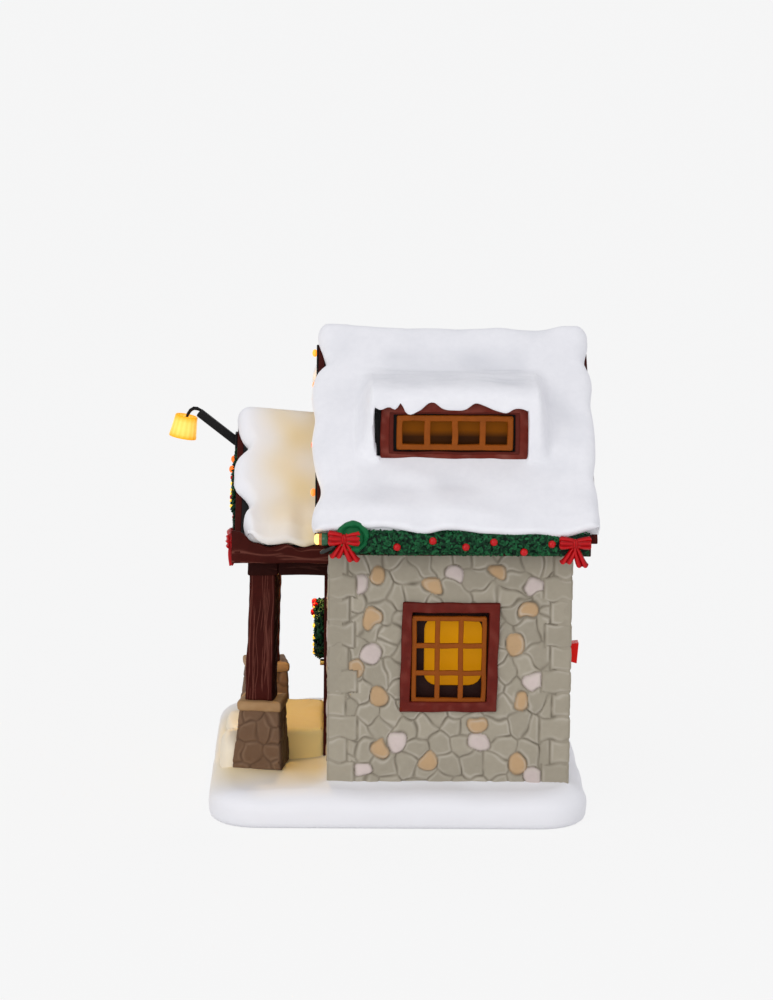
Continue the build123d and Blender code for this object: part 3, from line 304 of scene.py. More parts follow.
def lay_stones(across, up, left, right, pebbles, long_course, seed):
    """Relief of a rubble wall at each point, in millimetres, with its joints, lit edges and paint.

    Each point belongs to the nearest stone centre, and its distance to the border with the next nearest one
    gives the joint. Painted pebbles are domes of their own radius. Corner blocks are courses of two widths.
    """
    random = np.random.default_rng(seed)
    place = np.column_stack([across.ravel(), up.ravel()])
    place = place + 0.7 * np.column_stack([ripple(place, 8, seed), ripple(place, 8, seed + 1)])
    columns, rows = np.meshgrid(np.arange(left, right + 9, 8.6), np.arange(ground_top, up.max() + 8, 7.6))
    columns = columns + 4.3 * (np.arange(len(rows)) % 2)[:, None]
    greys = np.column_stack([columns.ravel(), rows.ravel()]) + random.uniform(-2.3, 2.3, (rows.size, 2))
    pebbles = np.array(pebbles, float).reshape(-1, 3)
    apart = np.linalg.norm(greys[:, None] - pebbles[None, :, :2], axis=-1).min(axis=1)
    centres = np.vstack([pebbles[:, :2], greys[apart > 4.6]])
    plain = len(pebbles)
    square = ((place[:, None] - centres[None, plain:]) ** 2).sum(axis=-1)
    order = np.argpartition(square, 1, axis=1)[:, :2]
    near = np.take_along_axis(square, order, axis=1)
    order = np.take_along_axis(order, near.argsort(axis=1), axis=1) + plain
    near = np.sort(near, axis=1)
    first = order[:, 0]
    gap = np.linalg.norm(centres[order[:, 1]] - centres[first], axis=1)
    edge = (near[:, 1] - near[:, 0]) / (2 * gap)
    away = place - centres[first]
    around = place[:, None] - pebbles[None, :, :2]
    bearing = np.arctan2(around[..., 1], around[..., 0])
    squash = random.uniform(0, np.pi, plain)
    rim = random.uniform(3.3, 4.3, plain) * (1 + 0.14 * np.cos(2 * (bearing - squash))
                                             + 0.04 * np.cos(3 * bearing + squash))
    inside = 1 - np.linalg.norm(around, axis=-1) / rim
    best = inside.argmax(axis=1)
    inside = inside.max(axis=1)
    pebble = inside > 0
    first = np.where(pebble, best, first)
    edge = np.where(pebble, inside * 3.8, np.minimum(edge, -inside * 3.8))
    course = (place[:, 1] - ground_top) / corner_course
    row = np.floor(course)
    part = course - row
    for corner, way in ((left, 1), (right, -1)):
        depth = (across.ravel() - corner) * way
        width = np.where(row % 2 == long_course, 10.8, 7.4) + 0.7 * np.sin(row * 2.3 + corner)
        block = depth < width
        bed = np.minimum(part, 1 - part) * corner_course
        beside = np.minimum(edge, np.maximum(depth - width, 0))
        edge = np.where(block, np.minimum(width - depth, bed), beside)
        pebble = pebble & ~block
        away = np.where(block[:, None], 0, away)
        first = np.where(block, (row * 7 + corner).astype(int) % len(centres), first)
    stone = 1 - np.exp(-(np.maximum(edge, 0) / 0.5) ** 2)
    lean = random.normal(0, 0.05, (len(centres), 2))
    lift = random.uniform(-0.12, 0.2, len(centres))
    height = stone * (0.42 + lift[first] + np.clip((away * lean[first]).sum(axis=1), -0.25, 0.25))
    dome = np.sqrt(np.clip(1 - (1 - inside) ** 2, 0, 1))
    height = np.where(pebble, 0.1 + (0.3 + 0.6 * dome) * np.minimum(stone * 1.5, 1), height)
    height = height + 0.05 * ripple(np.column_stack([place, first]), 2.6, seed + 3)
    joint = np.exp(-(edge / 0.4) ** 2) * (0.55 + 0.35 * ripple(place, 6, seed + 4))
    worn = np.clip(0.5 + 0.8 * ripple(place, 11, seed + 5), 0, 1)
    lit = 0.5 * np.exp(-((edge - 0.95) / 0.45) ** 2) * worn
    shades = np.array([paint(*stone_grey), paint(*stone_tan), paint(*stone_pink)])
    kinds = np.concatenate([pebbles[:, 2].astype(int), np.zeros(len(centres) - plain, int)])
    tint = shades[np.where(pebble, kinds[first], 0)]
    tint[:, :3] *= random.uniform(0.93, 1.06, len(centres))[first][:, None]
    relief, joint, lit = (value.reshape(across.shape) for value in (height, np.clip(joint, 0, 1), lit))
    return relief, joint, lit, tint.reshape(*across.shape, 4)


def gable_pebbles(seed):
    """Painted stones of a gable wall: loose rows under the roof line, clear of the corners, some left out."""
    random = np.random.default_rng(seed)
    spots = []
    for row in range(10):
        for column in range(-5, 6):
            x = (column + row % 2 / 2) * pebble_pitch + random.uniform(-4, 4)
            z = ground_top + (row + 0.6) * pebble_pitch + random.uniform(-3.5, 3.5)
            top = wall_top + (wall_half[0] - abs(x)) * gable_slope
            if abs(x) < wall_half[0] - 15 and z < top - 9 and random.uniform() < 0.75:
                spots.append((x, z, random.integers(1, 3)))
    return spots


def make_side_wall(pebbles, seed):
    """Side wall as rings from the window's edge to the wall's edge, with the relief pushed out along X."""
    size = {"side": 176, "arc": 2}
    inner = outline(17.0, 19.7, 0.1, **size) + (wall_middle, 65.75)
    outer = outline(wall_half[1], (wall_top - ground_top) / 2, 0.01, **size)
    outer = outer + (wall_middle, (wall_top + ground_top) / 2)
    reach = np.linspace(0, 1, 76)[:, None, None]
    flat = inner * (1 - reach) + outer * reach
    left, right = wall_middle - wall_half[1], wall_middle + wall_half[1]
    height, joint, lit, tint = lay_stones(flat[..., 0], flat[..., 1], left, right, pebbles, 0, seed)
    side = np.sign(flat[..., 0] - wall_middle)
    past = np.clip(1 - (wall_half[1] - np.abs(flat[..., 0] - wall_middle)) / 1.4, 0, 1)
    out = wall_half[0] + height - 0.5 * past ** 3
    points = np.stack([out, flat[..., 0] + side * past * height, flat[..., 1]], axis=-1)
    rims = flat[[-1, 0]]
    back = np.concatenate([np.full((*rims.shape[:2], 1), wall_half[0] - wall_depth), rims], axis=-1)
    grow = {"hollow": joint, "ridge": lit, "tint": tint}
    grow = {name: np.concatenate([value, value[[-1, 0]]]) for name, value in grow.items()}
    return skin(np.concatenate([points, back]), around=True, along=True, **grow)


def make_gable_wall(y, way, seed):
    """Gable wall as upright strips up to the roof line, with the relief pushed out along Y.

    The front wall lies a little deeper behind the door and its facing.
    """
    x = np.linspace(-wall_half[0], wall_half[0], 250)[:, None]
    share = np.linspace(0, 1, 150)[None]
    top = wall_top + (wall_half[0] - np.abs(x)) * gable_slope
    z = ground_top + (top - ground_top) * share
    x = np.broadcast_to(x, z.shape)
    height, joint, lit, tint = lay_stones(x, z, -wall_half[0], wall_half[0], gable_pebbles(seed), 1, seed)
    if way < 0:
        behind_door = (np.abs(x) < door_recess["half_width"]) & (z < door_recess["top"])
        height = np.where(behind_door, -door_recess["depth"], height)
    past = np.clip(1 - (wall_half[0] - np.abs(x)) / 1.4, 0, 1)
    points = np.stack([x + np.sign(x) * past * height, y + way * (height - 0.5 * past ** 3), z], axis=-1)
    back = points[:, [-1, 0]] * (1, 0, 1) + (0, y - way * wall_depth, 0)
    grow = {"hollow": joint, "ridge": lit, "tint": tint}
    grow = {name: np.concatenate([value, value[:, [-1, 0]]], axis=1) for name, value in grow.items()}
    return skin(np.concatenate([points, back], axis=1), around=True, capped=True, **grow)


def mirrored(made):
    """The same skin on the other side of the ridge, with its faces turned to point outwards again."""
    return {"points": made["points"] * (-1, 1, 1), "quads": made["quads"][:, ::-1],
            "tris": made["tris"][:, ::-1], "values": made["values"]}


stone_finish = coat("stone_paint", stone_grey, stone_joint, stone_edge, mottle=0.1, rough=0.55, grain=0.3,
                    gloss=0.1, tinted=True)
side_pebbles = [(*spot, 1) for spot in tan_stones] + [(*spot, 2) for spot in pink_stones]
front_y, back_y = wall_middle - wall_half[1], wall_middle + wall_half[1]
add_piece("stones_right", make_side_wall(side_pebbles, 31), stone_finish, ["wall_shell"])
add_piece("stones_left", mirrored(make_side_wall(side_pebbles, 32)), stone_finish, ["wall_shell"])
add_piece("stones_front", make_gable_wall(front_y, -1, 33), stone_finish, ["wall_shell"])
add_piece("stones_back", make_gable_wall(back_y, 1, 34), stone_finish, ["wall_shell"])


# Side windows.
# A cast frame with a deep pocket, painted red-brown, set in the wall a little askew.
# A stamped orange-brown lattice is glued in front of a lit amber pane that shows through a rounded cut-out.
window_middle = (19.5, 65.75)
window_half = (19.0, 21.75)
window_bar = 4.0
frame_red = (103, 29, 20)
frame_dark = (44, 17, 12)
frame_light = (140, 72, 60)
lattice_brown = (146, 74, 14)
lattice_dark = (84, 42, 16)
amber_light = (182, 122, 8)
amber_low = (166, 104, 4)


def ring_stack(stations, middle, side=10, arc=5):
    """Rounded rectangles stacked along X: half width, half height, corner, X and perhaps a shift of each."""
    rings = []
    for half_a, half_b, corner, x, *shift in stations:
        ring = outline(half_a, half_b, corner, side, arc) + np.array(middle) + (shift[0] if shift else (0, 0))
        rings.append(np.column_stack([np.full(len(ring), x), ring]))
    return np.array(rings)


def make_window_frame():
    """Frame, pocket and cut-out as one loop of rounded rectangles, out of the wall, in and back behind."""
    a, b = window_half
    inner_a, inner_b = a - window_bar, b - window_bar
    cut_out = (1.5, 1.2)
    stations = [(a, b, 0.5, 67.5), (a, b, 0.5, 69.2), (a, b, 0.5, 70.4), (a - 0.25, b - 0.25, 0.5, 70.85),
                (a - 0.8, b - 0.8, 0.5, 71.0), (a - 1.6, b - 1.6, 0.5, 70.95), (a - 2.2, b - 2.2, 0.5, 71.0),
                (a - 3.2, b - 3.2, 0.5, 71.0), (inner_a + 0.2, inner_b + 0.2, 0.4, 70.8),
                (inner_a, inner_b, 0.3, 70.3), (inner_a, inner_b, 0.3, 67.0), (inner_a, inner_b, 0.3, 64.3),
                (11.3, 13.8, 5.0, 64.2, cut_out), (11.3, 13.8, 5.0, 63.1, cut_out), (16.8, 19.5, 0.3, 63.05),
                (16.8, 19.5, 0.3, 67.5)]
    points = ring_stack(stations, window_middle, side=26, arc=5)
    shown = np.clip((points[..., 0] - 66) / 3, 0, 1)
    askew = (points[..., 2] - window_middle[1]) * 0.022
    points[..., 1] += askew * shown + 0.16 * shown * ripple(points, 11, 41)
    points[..., 2] += 0.14 * shown * ripple(points, 13, 42)
    points[..., 0] += 0.1 * shown * ripple(points, 7, 43)
    # Painted shade: the pocket darkens towards the pane, and the frame's sides darken where they meet the
    # wall.
    hollow = np.clip((69.6 - points[..., 0]) / 3.5, 0, 1) ** 0.6
    hollow[:3] = np.array([0.9, 0.5, 0.15])[:, None]
    ridge = 0.25 * np.clip(ripple(points, 5, 44), 0, 1) * (np.abs(points[..., 0] - 70.8) < 0.3)
    return skin(points, around=True, along=True, hollow=hollow, ridge=ridge)


def rounded_bar(start, end, half_width, half_depth, corner, side=2, arc=3, steps=14, soft=0.4):
    """Bar between two points: a rounded rectangle carried along, drawn in at both ends to round them."""
    start, end = np.array(start, float), np.array(end, float)
    way = end - start
    length = np.linalg.norm(way)
    way = way / length
    deep = np.array([1.0, 0, 0]) if abs(way[0]) < 0.9 else np.array([0, 1.0, 0])
    wide = np.cross(way, deep)
    deep = np.cross(wide, way)
    inner = np.linspace(soft, length - soft, steps)
    run = np.concatenate([[0, 0.3 * soft], inner, [length - 0.3 * soft, length]])
    draw = np.concatenate([[0.75, 0.93], np.ones(steps), [0.93, 0.75]])
    ring = outline(half_width, half_depth, corner, side, arc)
    section = ring[:, :1] * wide + ring[:, 1:] * deep
    points = start + run[:, None, None] * way + draw[:, None, None] * section[None]
    return skin(points, around=True, capped=True)


def join(skins):
    """Skins put together as one mesh, with their point numbers counted on and missing values as zero."""
    starts = np.cumsum([0] + [len(part["points"]) for part in skins])
    values = {}
    for name in sorted({name for part in skins for name in part["values"]}):
        blanks = [np.zeros((len(part["points"]), 1)) for part in skins]
        values[name] = np.vstack([part["values"].get(name, blank) for part, blank in zip(skins, blanks)])
    return {"points": np.vstack([part["points"] for part in skins]),
            "quads": np.vstack([part["quads"] + start for part, start in zip(skins, starts)]),
            "tris": np.vstack([part["tris"] + start for part, start in zip(skins, starts)]),
            "values": values}


def make_lattice(x0, x1, middle, half_a, half_b, columns, rows, seed, bar=2.0):
    """Lattice: a rounded border with bars between, each a little uneven."""
    x = (x0 + x1) / 2
    deep = (x1 - x0) / 2
    stations = [(0, 1.0, x0), (0, 1.0, x1 - 0.4), (0.3, 0.8, x1), (bar - 0.3, 0.5, x1), (bar, 0.3, x1 - 0.4),
                (bar, 0.3, x0)]
    border = ring_stack([(half_a - inset, half_b - inset, *rest) for inset, *rest in stations], middle)
    skins = [skin(border, around=True, along=True)]
    for column in range(1, columns):
        y = middle[0] - half_a + bar / 2 + (2 * half_a - bar) * column / columns
        low, high = middle[1] - half_b + bar / 2, middle[1] + half_b - bar / 2
        skins.append(rounded_bar((x, y, low), (x, y, high), bar / 2, deep - 0.05, 0.35))
    for row in range(1, rows):
        z = middle[1] - half_b + bar / 2 + (2 * half_b - bar) * row / rows
        low, high = middle[0] - half_a + bar / 2, middle[0] + half_a - bar / 2
        skins.append(rounded_bar((x, low, z), (x, high, z), bar / 2, deep - 0.1, 0.35))
    lattice = join(skins)
    points = lattice["points"]
    points[:, 1] += 0.1 * ripple(points, 9, seed)
    points[:, 2] += 0.1 * ripple(points, 9, seed + 1)
    # Painted shade on the lattice's back, where it lies deep in its frame.
    lattice["values"]["hollow"] = np.clip((x0 + 0.7 - points[:, :1]) / 0.7, 0, 1)
    return lattice


def glow(name, high, low, z_low, z_high, strength):
    """Lit amber plastic: an even glow that falls off downwards and is a little cloudy."""
    material, nodes, link, shader = new_material(name)
    place = nodes.new("ShaderNodeTexCoord").outputs["Object"]
    split = nodes.new("ShaderNodeSeparateXYZ")
    noise = nodes.new("ShaderNodeTexNoise")
    noise.inputs["Scale"].default_value = 60
    rise = nodes.new("ShaderNodeMapRange")
    rise.inputs["From Min"].default_value = z_low * mm
    rise.inputs["From Max"].default_value = z_high * mm
    link(place, split.inputs[0])
    link(place, noise.inputs["Vector"])
    link(split.outputs["Z"], rise.inputs["Value"])
    share = calculate(nodes, link, "MULTIPLY_ADD", noise.outputs["Fac"], 0.3, rise.outputs[0])
    color = blend(nodes, link, share, paint(*low), paint(*high))
    link(color, shader.inputs["Base Color"])
    link(color, shader.inputs["Emission Color"])
    shader.inputs["Emission Strength"].default_value = strength
    shader.inputs["Roughness"].default_value = 0.3
    shader.inputs["Specular IOR Level"].default_value = 0.05
    return material


def add_pair(name, made, material, node):
    """A piece on the right-hand side of the house, and its mirror image on the left-hand side."""
    add_piece(name + "_r", made, material, [node + "_right"])
    add_piece(name + "_l", mirrored(made), material, [node + "_left"])


def dress(material, *nodes):
    """A finish for solids that keep their own shape."""
    for node in nodes:
        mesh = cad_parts[node].data
        mesh.materials.clear()
        mesh.materials.append(material)


frame_finish = coat("frame_paint", frame_red, frame_dark, frame_light, mottle=0.3, rough=0.3, grain=0.3)
lattice_finish = coat("lattice_paint", lattice_brown, lattice_dark, mottle=0.25, rough=0.35, grain=0.2)
lattice = make_lattice(68.1, 69.7, (19.3, 64.7), 14.7, 17.3, 3, 3, 45)
add_pair("window_frame", make_window_frame(), frame_finish, "window_frame")
add_pair("window_lattice", lattice, lattice_finish, "window_grid")
dress(glow("window_glow", amber_light, amber_low, 50, 72, 0.6), "window_panes")


# Snow on the roofs.
# A thick sheet cast over the boards of each roof, with wavy soft edges, a rounded lip at the eaves and a
# swelling over each dormer. It is matt white like the ground, and its edges leave parts of the boards bare.
snow_ridge = 186.1
snow_limit = 187.5
boards_ridge = 180.83
porch_snow_ridge = 151.4
porch_boards_ridge = 146.74
roof_front_edge = [(0, -32.8), (2.8, -32.5), (7.8, -30.8), (15.3, -30.2), (18.2, -33.1), (23.5, -34.9),
                   (27.6, -35), (34.9, -33.7), (45.3, -34.8), (53.2, -33.9), (58.7, -32.7), (64.1, -31.1),
                   (71.1, -32.6), (73.4, -33.7), (79.6, -34.4), (83.3, -33.2)]
roof_back_edge = [(0, 76), (3.6, 75.9), (11.9, 74.2), (18.5, 76.5), (29.2, 75.7), (37.3, 76.5), (50.8, 76.3),
                  (58.7, 75.2), (66.5, 76.2), (74, 76.3), (80, 76.4), (83.3, 75.8)]
roof_low_edge = [(-36, 117.5), (-25, 117.7), (-13, 118.3), (-7, 118.7), (0.5, 118), (10.3, 116.9),
                 (15.6, 118.1), (26.2, 117.4), (36.9, 116.3), (44.5, 116), (52, 116.8), (63.4, 115.7),
                 (69.5, 117.3), (77, 120.4)]
roof_humps = [(-25, 1.6, 9), (69, 1.1, 8)]
porch_humps = [(-61, 2.0, 15)]
porch_front_edge = [(0, -65.2), (2.6, -65), (8.1, -63.4), (12.3, -60.6), (15.3, -61.4), (18.4, -64.8),
                    (24.3, -65.8), (29.1, -65.1), (32, -62.1), (35.5, -59.8), (40.2, -59.9), (44.3, -61.5),
                    (50, -60.5), (55, -59.5)]
porch_back_edge = [(0, -27.6), (55, -27.6)]
porch_low_edge = [(-66, 112.5), (-60.4, 110.4), (-58, 108), (-54, 106.8), (-48.3, 106.6), (-43.7, 107.2),
                  (-37.4, 105.8), (-33.4, 106.8), (-27, 107)]
dormer_low_edge = [(-14, 161.6), (-10.9, 162.4), (-8.3, 161.5), (-4.9, 162.5), (-1.8, 161.7), (-0.4, 164),
                   (1.3, 160.6), (6.7, 160.5), (12.1, 164.1), (15.8, 161.9), (20.5, 161.5), (25.1, 161.9),
                   (28.5, 163.6), (32, 162.8), (37.4, 160.7), (41.2, 160.1), (43.9, 161.7), (46.6, 161.9),
                   (49.7, 160.8), (55, 159.3)]
dormer_start, dormer_end = 13, 56


def smooth(x, y, at):
    """Smooth line through values, one or a row of them at each station, by cubic pieces."""
    lean = np.gradient(y, x, axis=0)
    at = np.clip(at, x[0], x[-1])
    k = np.clip(np.searchsorted(x, at) - 1, 0, len(x) - 2)
    step = x[k + 1] - x[k]
    t = (at - x[k]) / step
    shape = t.shape + (1,) * (y.ndim - 1)
    t, step = t.reshape(shape), step.reshape(shape)
    return ((2 * t ** 3 - 3 * t ** 2 + 1) * y[k] + (t ** 3 - 2 * t ** 2 + t) * step * lean[k]
            + (3 * t ** 2 - 2 * t ** 3) * y[k + 1] + (t ** 3 - t ** 2) * step * lean[k + 1])


def curve(knots, at):
    """Smooth line through knots of place and height."""
    x, y = np.array(knots, float).T
    return smooth(x, y, at)


def ease(t):
    """Smooth step from 0 to 1."""
    t = np.clip(t, 0, 1)
    return t * t * (3 - 2 * t)


def dormer_cap(p, y, plain):
    """Snow over a dormer, for the stations of the plain slope: a swelling with a wavy overhanging lip.

    Over the window the lip turns in behind the frame. Beside it the snow falls straight to the slope, and
    both ends are blended into the slope.
    """
    top_stations = [dormer_start, 19, 26, 32, 37, 40, 42, 44, 45.5, 47]
    top_x = [dormer_start, 19.6, 29, 38, 46, 51, 54.2, 56.6, 57.8, 58.2]
    start_z, end_z = np.interp((dormer_start, dormer_end), p, plain[:, 1])
    top_z = [start_z, 171.6, 170.9, 170.5, 170.3, 169.7, 168.8, 167.2, 165.6, 163.8]
    face_stations = [48.3, 49.3, 50.3, 51.2, 52, 52.6, 53.3, 54, 55]
    window_x = [57.8, 56.8, 55.7, 54.4, 52.0, 48.5, 47.5, 48.0, 53.6]
    window_rise = [0, 0.1, 1.2, 2.2, 2.6, 2.0]
    side_x = [58.2, 58.1, 57.9, 57.6, 57.3, 57.0, 56.8, 56.5, 56.2]
    side_z = [162.3, 160.4, 158.2, 155.8, 153.4, 151.2, 148.4, 145.2, 142.8]
    window_left = [-10.9, -10.9, -10.9, -10.9, -11.2, -11.0, -10.6, -9.8, -8.7]
    window_right = 49.0
    jamb = 0.8
    swell = 0.7 * np.exp(-((y - 28) / 24) ** 2)
    low = curve(dormer_low_edge, y)
    window_z = np.array([low + rise for rise in window_rise] + [0 * y + 152, 0 * y + 143.2, 0 * y + 142.6])
    open_share = ease((y - np.array(window_left)[:, None]) / jamb) * (1 - ease((y - window_right) / jamb))
    face_x = np.array(window_x)[:, None] * open_share + np.array(side_x)[:, None] * (1 - open_share)
    face_z = window_z * open_share + np.array(side_z)[:, None] * (1 - open_share)
    top_rise = swell * (np.array(top_stations) > dormer_start)[:, None]
    x = np.vstack([np.array(top_x)[:, None] + 0 * y, face_x, 0 * y + dormer_end])
    z = np.vstack([np.array(top_z)[:, None] + top_rise, face_z, 0 * y + end_z])
    stations = np.array(top_stations + face_stations + [dormer_end], float)
    over_dormer = ((p > dormer_start) & (p < dormer_end))[:, None]
    share = ease((y + 18) / 7) * (1 - ease((y - 53.5) / 5.5)) * over_dormer
    creased = np.stack([p[:, None] + 0 * y, 0 * p[:, None] + y / 7], axis=-1)
    crease = 0.4 * ripple(creased, 4.2, 53) * (ease((p - 15) / 4) * (1 - ease((p - 36) / 5)))[:, None]
    return (plain[:, :1] * (1 - share) + smooth(stations, x, p) * share,
            plain[:, 1:] * (1 - share) + (smooth(stations, z, p) + crease) * share)


def make_snow(ridge, boards, tip, front, back, low, inner, humps, round_back, seed, capped_dormer):
    """Snow sheet: a loop over the top and back underneath, carried from eave to eave with wavy edges.

    The top follows the slope, swells to a rounded lip at the eave, and is drawn in to the sheet's middle near
    its front and back edges. The edges are knots of place and height, and the humps stand on the ridge.
    """
    lip = 1.9
    edge = tip - 3.6
    p = np.linspace(0, edge, 44)
    if capped_dormer:
        runs = ((0, dormer_start, 12), (dormer_start, 40, 24), (40, dormer_end, 46), (dormer_end, edge, 20))
        p = np.concatenate([[0]] + [np.linspace(*run)[1:] for run in runs])
    turn = np.radians(np.linspace(62, -110, 13))
    ends = np.array([0, 0.12, 0.45, 1.0, 1.8, 2.8, 4.0, 5.5])
    x_edge = np.concatenate([p, np.full(len(turn), tip)])
    y0, y1 = curve(front, x_edge)[:, None], curve(back, x_edge)[:, None]
    y_top = np.concatenate([y0 + ends, inner + 0 * y0, y1 - ends[::-1]], axis=1)
    y_middle = y1 + (y0 - y1) * (0.35, 0.65)
    y_bottom = np.concatenate([y1 - (0.6, 2.0, 5.0), y_middle, y0 + (5.0, 2.0, 0.6)], axis=1)

    def top_line(y):
        """Upper face: the rounded ridge, the slope with its dormer, and the nose at the eave."""
        flow = y.mean(axis=0)
        eave = curve(low, flow)
        slope_z = ridge - gable_slope * (np.sqrt(p ** 2 + 2.2) - np.sqrt(2.2))
        start = (tip - lip + lip * np.cos(turn[0]), eave + lip * (1 + np.sin(turn[0])))
        lift = (start[1] - (ridge - gable_slope * start[0])) * ease((p - edge + 16) / 16)[:, None]
        x = np.broadcast_to(p[:, None], (len(p), len(flow)))
        z = np.broadcast_to(slope_z[:, None], x.shape)
        if capped_dormer:
            x, z = dormer_cap(p, flow, np.column_stack([p, slope_z]))
        nose_x = tip - lip + lip * np.cos(turn)[:, None] + 0 * flow
        nose_z = eave + lip * (1 + np.sin(turn)[:, None])
        return np.concatenate([x, nose_x]), np.concatenate([z + lift, nose_z])

    def bottom_line(y):
        """Lower face: flat on the boards, and on to the inside of the nose."""
        flow = y.mean(axis=0)
        flat = p - 0.022 * p
        z = boards - 0.35 - gable_slope * flat
        run = np.linspace(0, 1, len(turn))[:, None]
        end_x, end_z = tip - lip - 1.0, curve(low, flow) + 0.75
        nose_x = flat[-1] + (end_x - flat[-1]) * run + 0 * flow
        nose_z = z[-1] + (end_z - z[-1]) * run
        slope_x, slope_z = flat[:, None] + 0 * flow, z[:, None] + 0 * flow
        return np.concatenate([slope_x, nose_x]), np.concatenate([slope_z, nose_z])

    def inset(distance, reach):
        """Quarter circle from 0 at the edge to 1 at its reach."""
        return np.sqrt(1 - (1 - np.clip(distance / reach, 0, 1)) ** 2)

    top_x, top_z = top_line(y_top)
    base_x, base_z = bottom_line(y_top)
    mid_x, mid_z = base_x + 0.25 * (top_x - base_x), base_z + 0.25 * (top_z - base_z)
    full = inset(y_top - y0, 4.6) * inset(y1 - y_top, 4.6 if round_back else 0.2)
    top = np.stack([mid_x + (top_x - mid_x) * full, y_top, mid_z + (top_z - mid_z) * full], axis=-1)
    soft = 0.45 * ripple(top, 24, seed) + 0.16 * ripple(top, 9, seed + 1)
    soft = soft + 0.07 * ripple(top * (1, 0.3, 1), 8, seed + 3)
    top[..., 2] += soft * full
    crest = np.exp(-(top[..., 0] / 9) ** 2)
    for place, height, spread in humps:
        top[..., 2] += height * crest * np.exp(-((y_top - place) / spread) ** 2) * full
    # Painted shade: grey in the dips of the snow, and in the valley behind the dormer's swelling.
    shade = 0.16 * np.clip(-soft / 0.5, 0, 1) * full
    if capped_dormer:
        across = ease((y_top + 10) / 8) * (1 - ease((y_top - 46) / 8))
        valley = ease((x_edge - 7) / 6) * (1 - ease((x_edge - 34) / 9))
        cloud = np.clip(0.26 + 0.1 * ripple(top, 19, seed + 4), 0, 0.45)
        shade = shade + across * valley[:, None] * cloud
    under_x, under_z = bottom_line(y_bottom)
    under = np.stack([under_x, y_bottom, under_z], axis=-1)
    half = np.concatenate([top, under], axis=1)
    other = half[:0:-1] * (-1, 1, 1)
    other[..., 2] += 0.2 * ripple(other, 17, seed + 2) * np.pad(full, ((0, 0), (0, under.shape[1])))[:0:-1]
    points = np.concatenate([other, half])
    points[..., 2] = np.minimum(points[..., 2], snow_limit)
    shade = np.pad(np.clip(shade, 0, 0.8), ((0, 0), (0, under.shape[1])))
    return skin(points, around=True, capped=True, hollow=np.concatenate([shade[:0:-1], shade]))


columns = [np.linspace(-23.5, 67.5, 92), np.linspace(-13, -7, 16), np.linspace(47.5, 52.5, 14)]
roof_columns = np.unique(np.concatenate(columns))
porch_columns = np.linspace(-52, -34, 26)
roof_snow = make_snow(snow_ridge, boards_ridge, 82.9, roof_front_edge, roof_back_edge, roof_low_edge,
                      roof_columns, roof_humps, True, 51, True)
porch_snow = make_snow(porch_snow_ridge, porch_boards_ridge, 53.6, porch_front_edge, porch_back_edge,
                       porch_low_edge, porch_columns, porch_humps, False, 52, False)
add_piece("roof_snow_sheet", roof_snow, snow_finish, ["roof_snow"], crease=70)
places = porch_snow["points"]
# Painted light: the porch snow is tinted warm by the gable bulbs, more towards the back, and mottled.
lamp_warmth = ease((places[:, 1] + 63) / 22) * np.clip(0.5 + 0.25 * ripple(places, 19, 55), 0, 1)
porch_snow["values"]["hollow"] = lamp_warmth[:, None]
add_piece("porch_snow_sheet", porch_snow, lamplit_snow_finish, ["porch_snow"], crease=70)


# Dormer windows.
# A red-brown cast frame with stepped posts stands in the black dormer wall under the swelling of the snow.
# The same stamped lattice as in the side windows sits in it, before a dim amber pane.
dormer_middle = (20.8, 151.7)
dormer_half = (28.85, 10.55)
dormer_opening = (23.7, 7.3)
dormer_red = (108, 34, 22)
dormer_light = (160, 100, 86)
dim_amber = (98, 52, 2)
pane_sill_shadow = (22, 8, 4)


def make_dormer_frame():
    """Frame as a loop of rounded rectangles from the wall out over a stepped face and back in."""
    a, b = dormer_half
    c, d = dormer_opening
    stations = [(a, b, 0.4, 51.8), (a, b, 0.4, 54.0), (a - 0.1, b - 0.1, 0.4, 54.6),
                (a - 0.5, b - 0.5, 0.4, 54.95), (a - 2.6, b - 0.9, 0.4, 55.0), (c + 1.9, d + 1.0, 0.3, 54.95),
                (c + 1.6, d + 0.8, 0.3, 54.5), (c + 0.3, d + 0.3, 0.3, 54.4), (c, d, 0.3, 54.1),
                (c, d, 0.3, 51.8)]
    points = ring_stack(stations, dormer_middle, side=30, arc=4)
    shown = np.clip((points[..., 0] - 53) / 1, 0, 1)
    points[..., 1] += 0.22 * shown * ripple(points, 14, 61)
    points[..., 2] += 0.2 * shown * ripple(points, 16, 62)
    points[..., 0] = np.minimum(points[..., 0] + 0.08 * shown * ripple(points, 6, 63), 55.2)
    points[..., 2] += 3.0 * ease((points[..., 2] - dormer_middle[1] - d - 1.2) / 1.5)
    # Painted shade: dark where the frame goes back into the wall and in its opening, half dark in its step.
    hollow = np.zeros(points.shape[:2])
    hollow[[0, -1, -2]] = 0.9
    hollow[6:8] = 0.35
    ridge = 0.3 * np.clip(ripple(points, 5, 64), 0, 1) * (points[..., 0] > 54.7)
    return skin(points, around=True, along=True, hollow=hollow, ridge=ridge)


dormer_finish = coat("dormer_paint", dormer_red, frame_dark, dormer_light, mottle=0.3, rough=0.35, grain=0.3)
dormer_lattice = make_lattice(52.5, 54.1, (21.0, 151.7), 22.8, 6.9, 4, 1, 65, bar=2.4)
add_pair("dormer_frame", make_dormer_frame(), dormer_finish, "dormer_frame")
add_pair("dormer_lattice", dormer_lattice, lattice_finish, "dormer_grid")
# The dormer panes turn dark towards the bottom: painted shadow of the sill.
dress(glow("dormer_glow", dim_amber, pane_sill_shadow, 149.6, 152.6, 0.6), "dormer_panes")


# Roof boards and dormer walls.
# Cast in one with the house and painted matt black. They lie under the snow, and show only where its edges
# draw back and beside the dormer frames.
board_black = coat("board_black", (24, 23, 24), (8, 8, 9), (60, 58, 58), mottle=0.5, rough=0.4, grain=0.4)
dress(board_black, "roof_boards", "porch_roof_boards", "dormer_right", "dormer_left")


